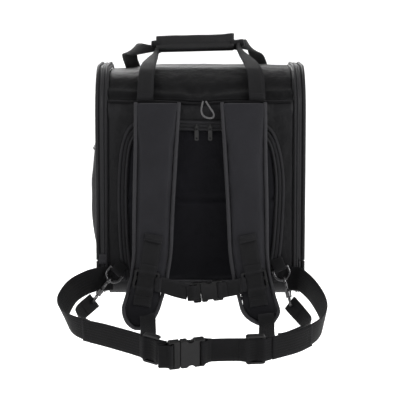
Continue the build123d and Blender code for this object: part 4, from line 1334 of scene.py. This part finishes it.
def ring_tabs():
    """Folded webbing that ties each D-ring to the bag's lower corner."""
    corners = {"left": ((-137, -134.5, 29), (-0.64, -0.30, -0.70), (-0.74, 0, 0.67)),
               "right": ((128, -134.5, 32), (0.38, -0.26, -0.89), (0.92, 0, 0.39))}
    made = []
    for side, (centre, tip, across) in corners.items():
        centre, tip = np.array(centre, float), unit(np.array(tip, float))
        across = np.array(across, float)
        across = unit(across - tip * np.dot(across, tip))
        face = unit(np.cross(tip, across))
        bar = centre - tip * 9
        turn = [bar + (tip * math.cos(angle) + face * math.sin(angle)) * 2.9
                for angle in np.linspace(-0.5 * math.pi, 0.5 * math.pi, 9)]
        root = bar - tip * 17
        root = np.array([root[0], -HALF_DEPTH - 5.5, root[2]])
        line = [root + face * 1.2, bar - tip * 8 + face * 2.2, *turn[::-1][::2], bar - tip * 8 - face * 1.4,
                root - face * 0.9]
        made.append(ribbon(f"ring_tab_{side}_strip", line, [across] * len(line), 19, 1.6, WEBBING, step=2.5,
                           ruffle=0.1))
    tabs = joined("ring_tab_cloth", made)
    finish(tabs, "root", "webbing", "corner_webbings")


# ---- carry handle -------------------------------------------------------------------------------
GRIP_SECTION = [(0, -13.3), (3.8, -12.6), (6.6, -10.2), (7.6, -6.8), (6.8, -3.4), (4.6, -1.0), (3.3, 1.4),
                (3.0, 6.0), (2.8, 11.0), (1.2, 13.4), (-1.2, 13.4), (-3.0, 11.2), (-3.6, 6.0), (-4.0, 1.6),
                (-5.6, -0.8), (-8.0, -3.0), (-8.9, -6.6), (-7.4, -10.6), (-4.0, -12.8)]


def grip_rise(x):
    """The grip hangs a little higher towards its right end."""
    return 1.6 * (x + 9) / 63


def handle():
    """Wrapped grip whose closed flap stands up, on four legs of webbing."""
    top = (GRIP_LOW.z + GRIP_HIGH.z) / 2
    section = smooth_rows([(y, z, 0) for y, z in GRIP_SECTION], 2.2, closed=True)
    rings = []
    for x in steps(GRIP_LOW.x + 0.5, GRIP_HIGH.x, 3):
        end = min(x - GRIP_LOW.x, GRIP_HIGH.x - x)
        slim = 0.94 + 0.06 * ease(end, -1, 3)
        tilt = grip_rise(x) - 0.8
        flare = 1.4 * ease(x, GRIP_HIGH.x - 22, GRIP_HIGH.x)
        rings.append([(x, y * slim * (1 + 0.05 * lump(x, y, z, 19, 2))
                       + 0.7 * lump(x, 0, z, 25, 4) * ease(z, 0, 12),
                       top + tilt + z * slim + (flare - 0.5 * lump(x, 0, 0, 30, 3)) * ease(z, 2, 13))
                      for y, z, _ in section])
    wrap_cloth = loft("grip_cloth_wrap", rings, GRIP_WRAP)
    finish(wrap_cloth, "handle", "grip_wrap", "handle_grip")
    left, right = GRIP_LOW.x, GRIP_HIGH.x
    seam = [[(x, y, top + z + grip_rise(x)) for x in steps(left + 3, right - 2, 6)]
            for y, z in ((-3.9, 2.6), (-3.3, 10.4))]
    finish(stitches("grip_stitches", seam), "handle", "grip_wrap")
    rolls = (("grip_core", [(right - 6, 0, top - 2), (60, -0.6, top - 1.2), (66, -1.2, top - 0.2),
                            (70, -1.6, top + 0.4)],
              lambda s: 6.6 - 0.9 * (s / 24) ** 3 + 0.5 * noise.noise(Vector((s / 4, 2, 0)))),
             ("grip_core_left", [(left + 6, 0, top - 2), (-74, -0.6, top - 2.2), (-79, -1.2, top - 2)],
              lambda s: 6.4 - 1.2 * (s / 14) ** 2))
    for name, line, radius in rolls:
        finish(tube(name, line, radius, WEBBING, sides=14, step=2), "handle", "webbing")

    flat = [(1, 0, 0)] * 4
    legs = {
        "near_left": ([(-86, -119.5, 301), (-85.5, -122.5, 312), (-84, -103, 343), (-81, -78, 356),
                       (-77, -48, 364), (-73, -22, 370), (left + 1, -8, 374), (left + 8, -2, 376)],
                      flat + [(1, 0, 0.2), (0.8, 0, 0.6), (0.3, 0, 1), (0, 0, 1)],
                      [25, 25, 24.5, 23, 19, 14, 10, 8], [2, 2, 2, 2.2, 3, 4.5, 6, 7]),
        "near_right": ([(88, -119.5, 301), (87.5, -122.5, 312), (85, -103, 344), (78, -78, 358), (70, -48, 368),
                        (64, -22, 376), (right + 8, -6, 381), (right + 1, -1, 382)],
                       flat + [(1, 0, -0.2), (0.8, 0, -0.6), (0.4, 0, -1), (0, 0, -1)],
                       [25, 25, 24.5, 22, 18, 15, 13, 12], [2, 2, 2, 2, 2.6, 3.6, 5, 6]),
        "far_left": ([(-108, 119.5, 301), (-109, 121, 312), (-113, 103, 342), (-117, 78, 359), (-115, 52, 372),
                      (-100, 26, 376), (-84, 10, 377), (left + 2, 3, 378)],
                     flat + [(0.8, 0, 0.5), (0.35, 0.3, 1), (0.1, 0.3, 1), (0, 0, 1)],
                     [25, 25, 25, 25, 25, 20, 13, 9], [2, 2, 2, 2, 2, 2.6, 4, 6]),
        "far_right": ([(104, 119.5, 301), (103.5, 121, 312), (100, 103, 343), (94, 78, 360), (86, 52, 374),
                       (77, 28, 382), (68, 10, 384), (right + 4, 3, 384)],
                      flat + [(0.8, 0, -0.5), (0.4, -0.3, -1), (0, 0, -1), (0, 0, -1)],
                      [25, 25, 25, 24, 22, 19, 15, 12], [2, 2, 2, 2, 2, 2.4, 4, 5]),
    }
    for name, (line, across, wide, deep) in legs.items():
        leg = ribbon(f"handle_leg_{name}", line, across, wide, deep, WEBBING, ruffle=1.0)
        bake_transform(leg)
        if name == "near_left":
            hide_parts("handle_webbings")
        x, y, z = line[0]
        sign = -1 if y < 0 else 1
        box = web_box((x, sign * 123.4, 309), (0, 0, 1), (1, 0, 0), (0, sign, 0), 9, 18)
        finish(stitches(f"handle_stitches_{name}", box), "root", "webbing")


# ---- pieces whose CAD shape is right ------------------------------------------------------------
def dress():
    looks = {"buckle": PLASTIC, "hook_metal": DARK_METAL, "zip_metal": ZIP_METAL, "spring_steel": STEEL,
             "board": BOARD}
    shown = {"tether_clip": DARK_METAL, "base_board": BOARD, "stiffener_hoops": STEEL, "d_rings": DARK_METAL,
             "hook_bodies": DARK_METAL, "hook_eyes": DARK_METAL}
    for part in frame["record"]["subparts"]:
        node = part["node"]
        look = shown.get(node) or looks.get(part["material_slot"])
        if look is not None:
            for slot in frame["nodes"][node].material_slots:
                slot.material = look


for make in (camera, hang_loop, studio, shell, front_side, end_panels, pocket, inside, back_panel,
             shoulder_pads, pad_webbings, sternum_strap, waist_belt, tails, ring_tabs, handle, dress):
    make()
VISUAL_BOX = [list(corner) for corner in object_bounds()]
floor(VISUAL_BOX[0][2] - FLOOR_DROP)
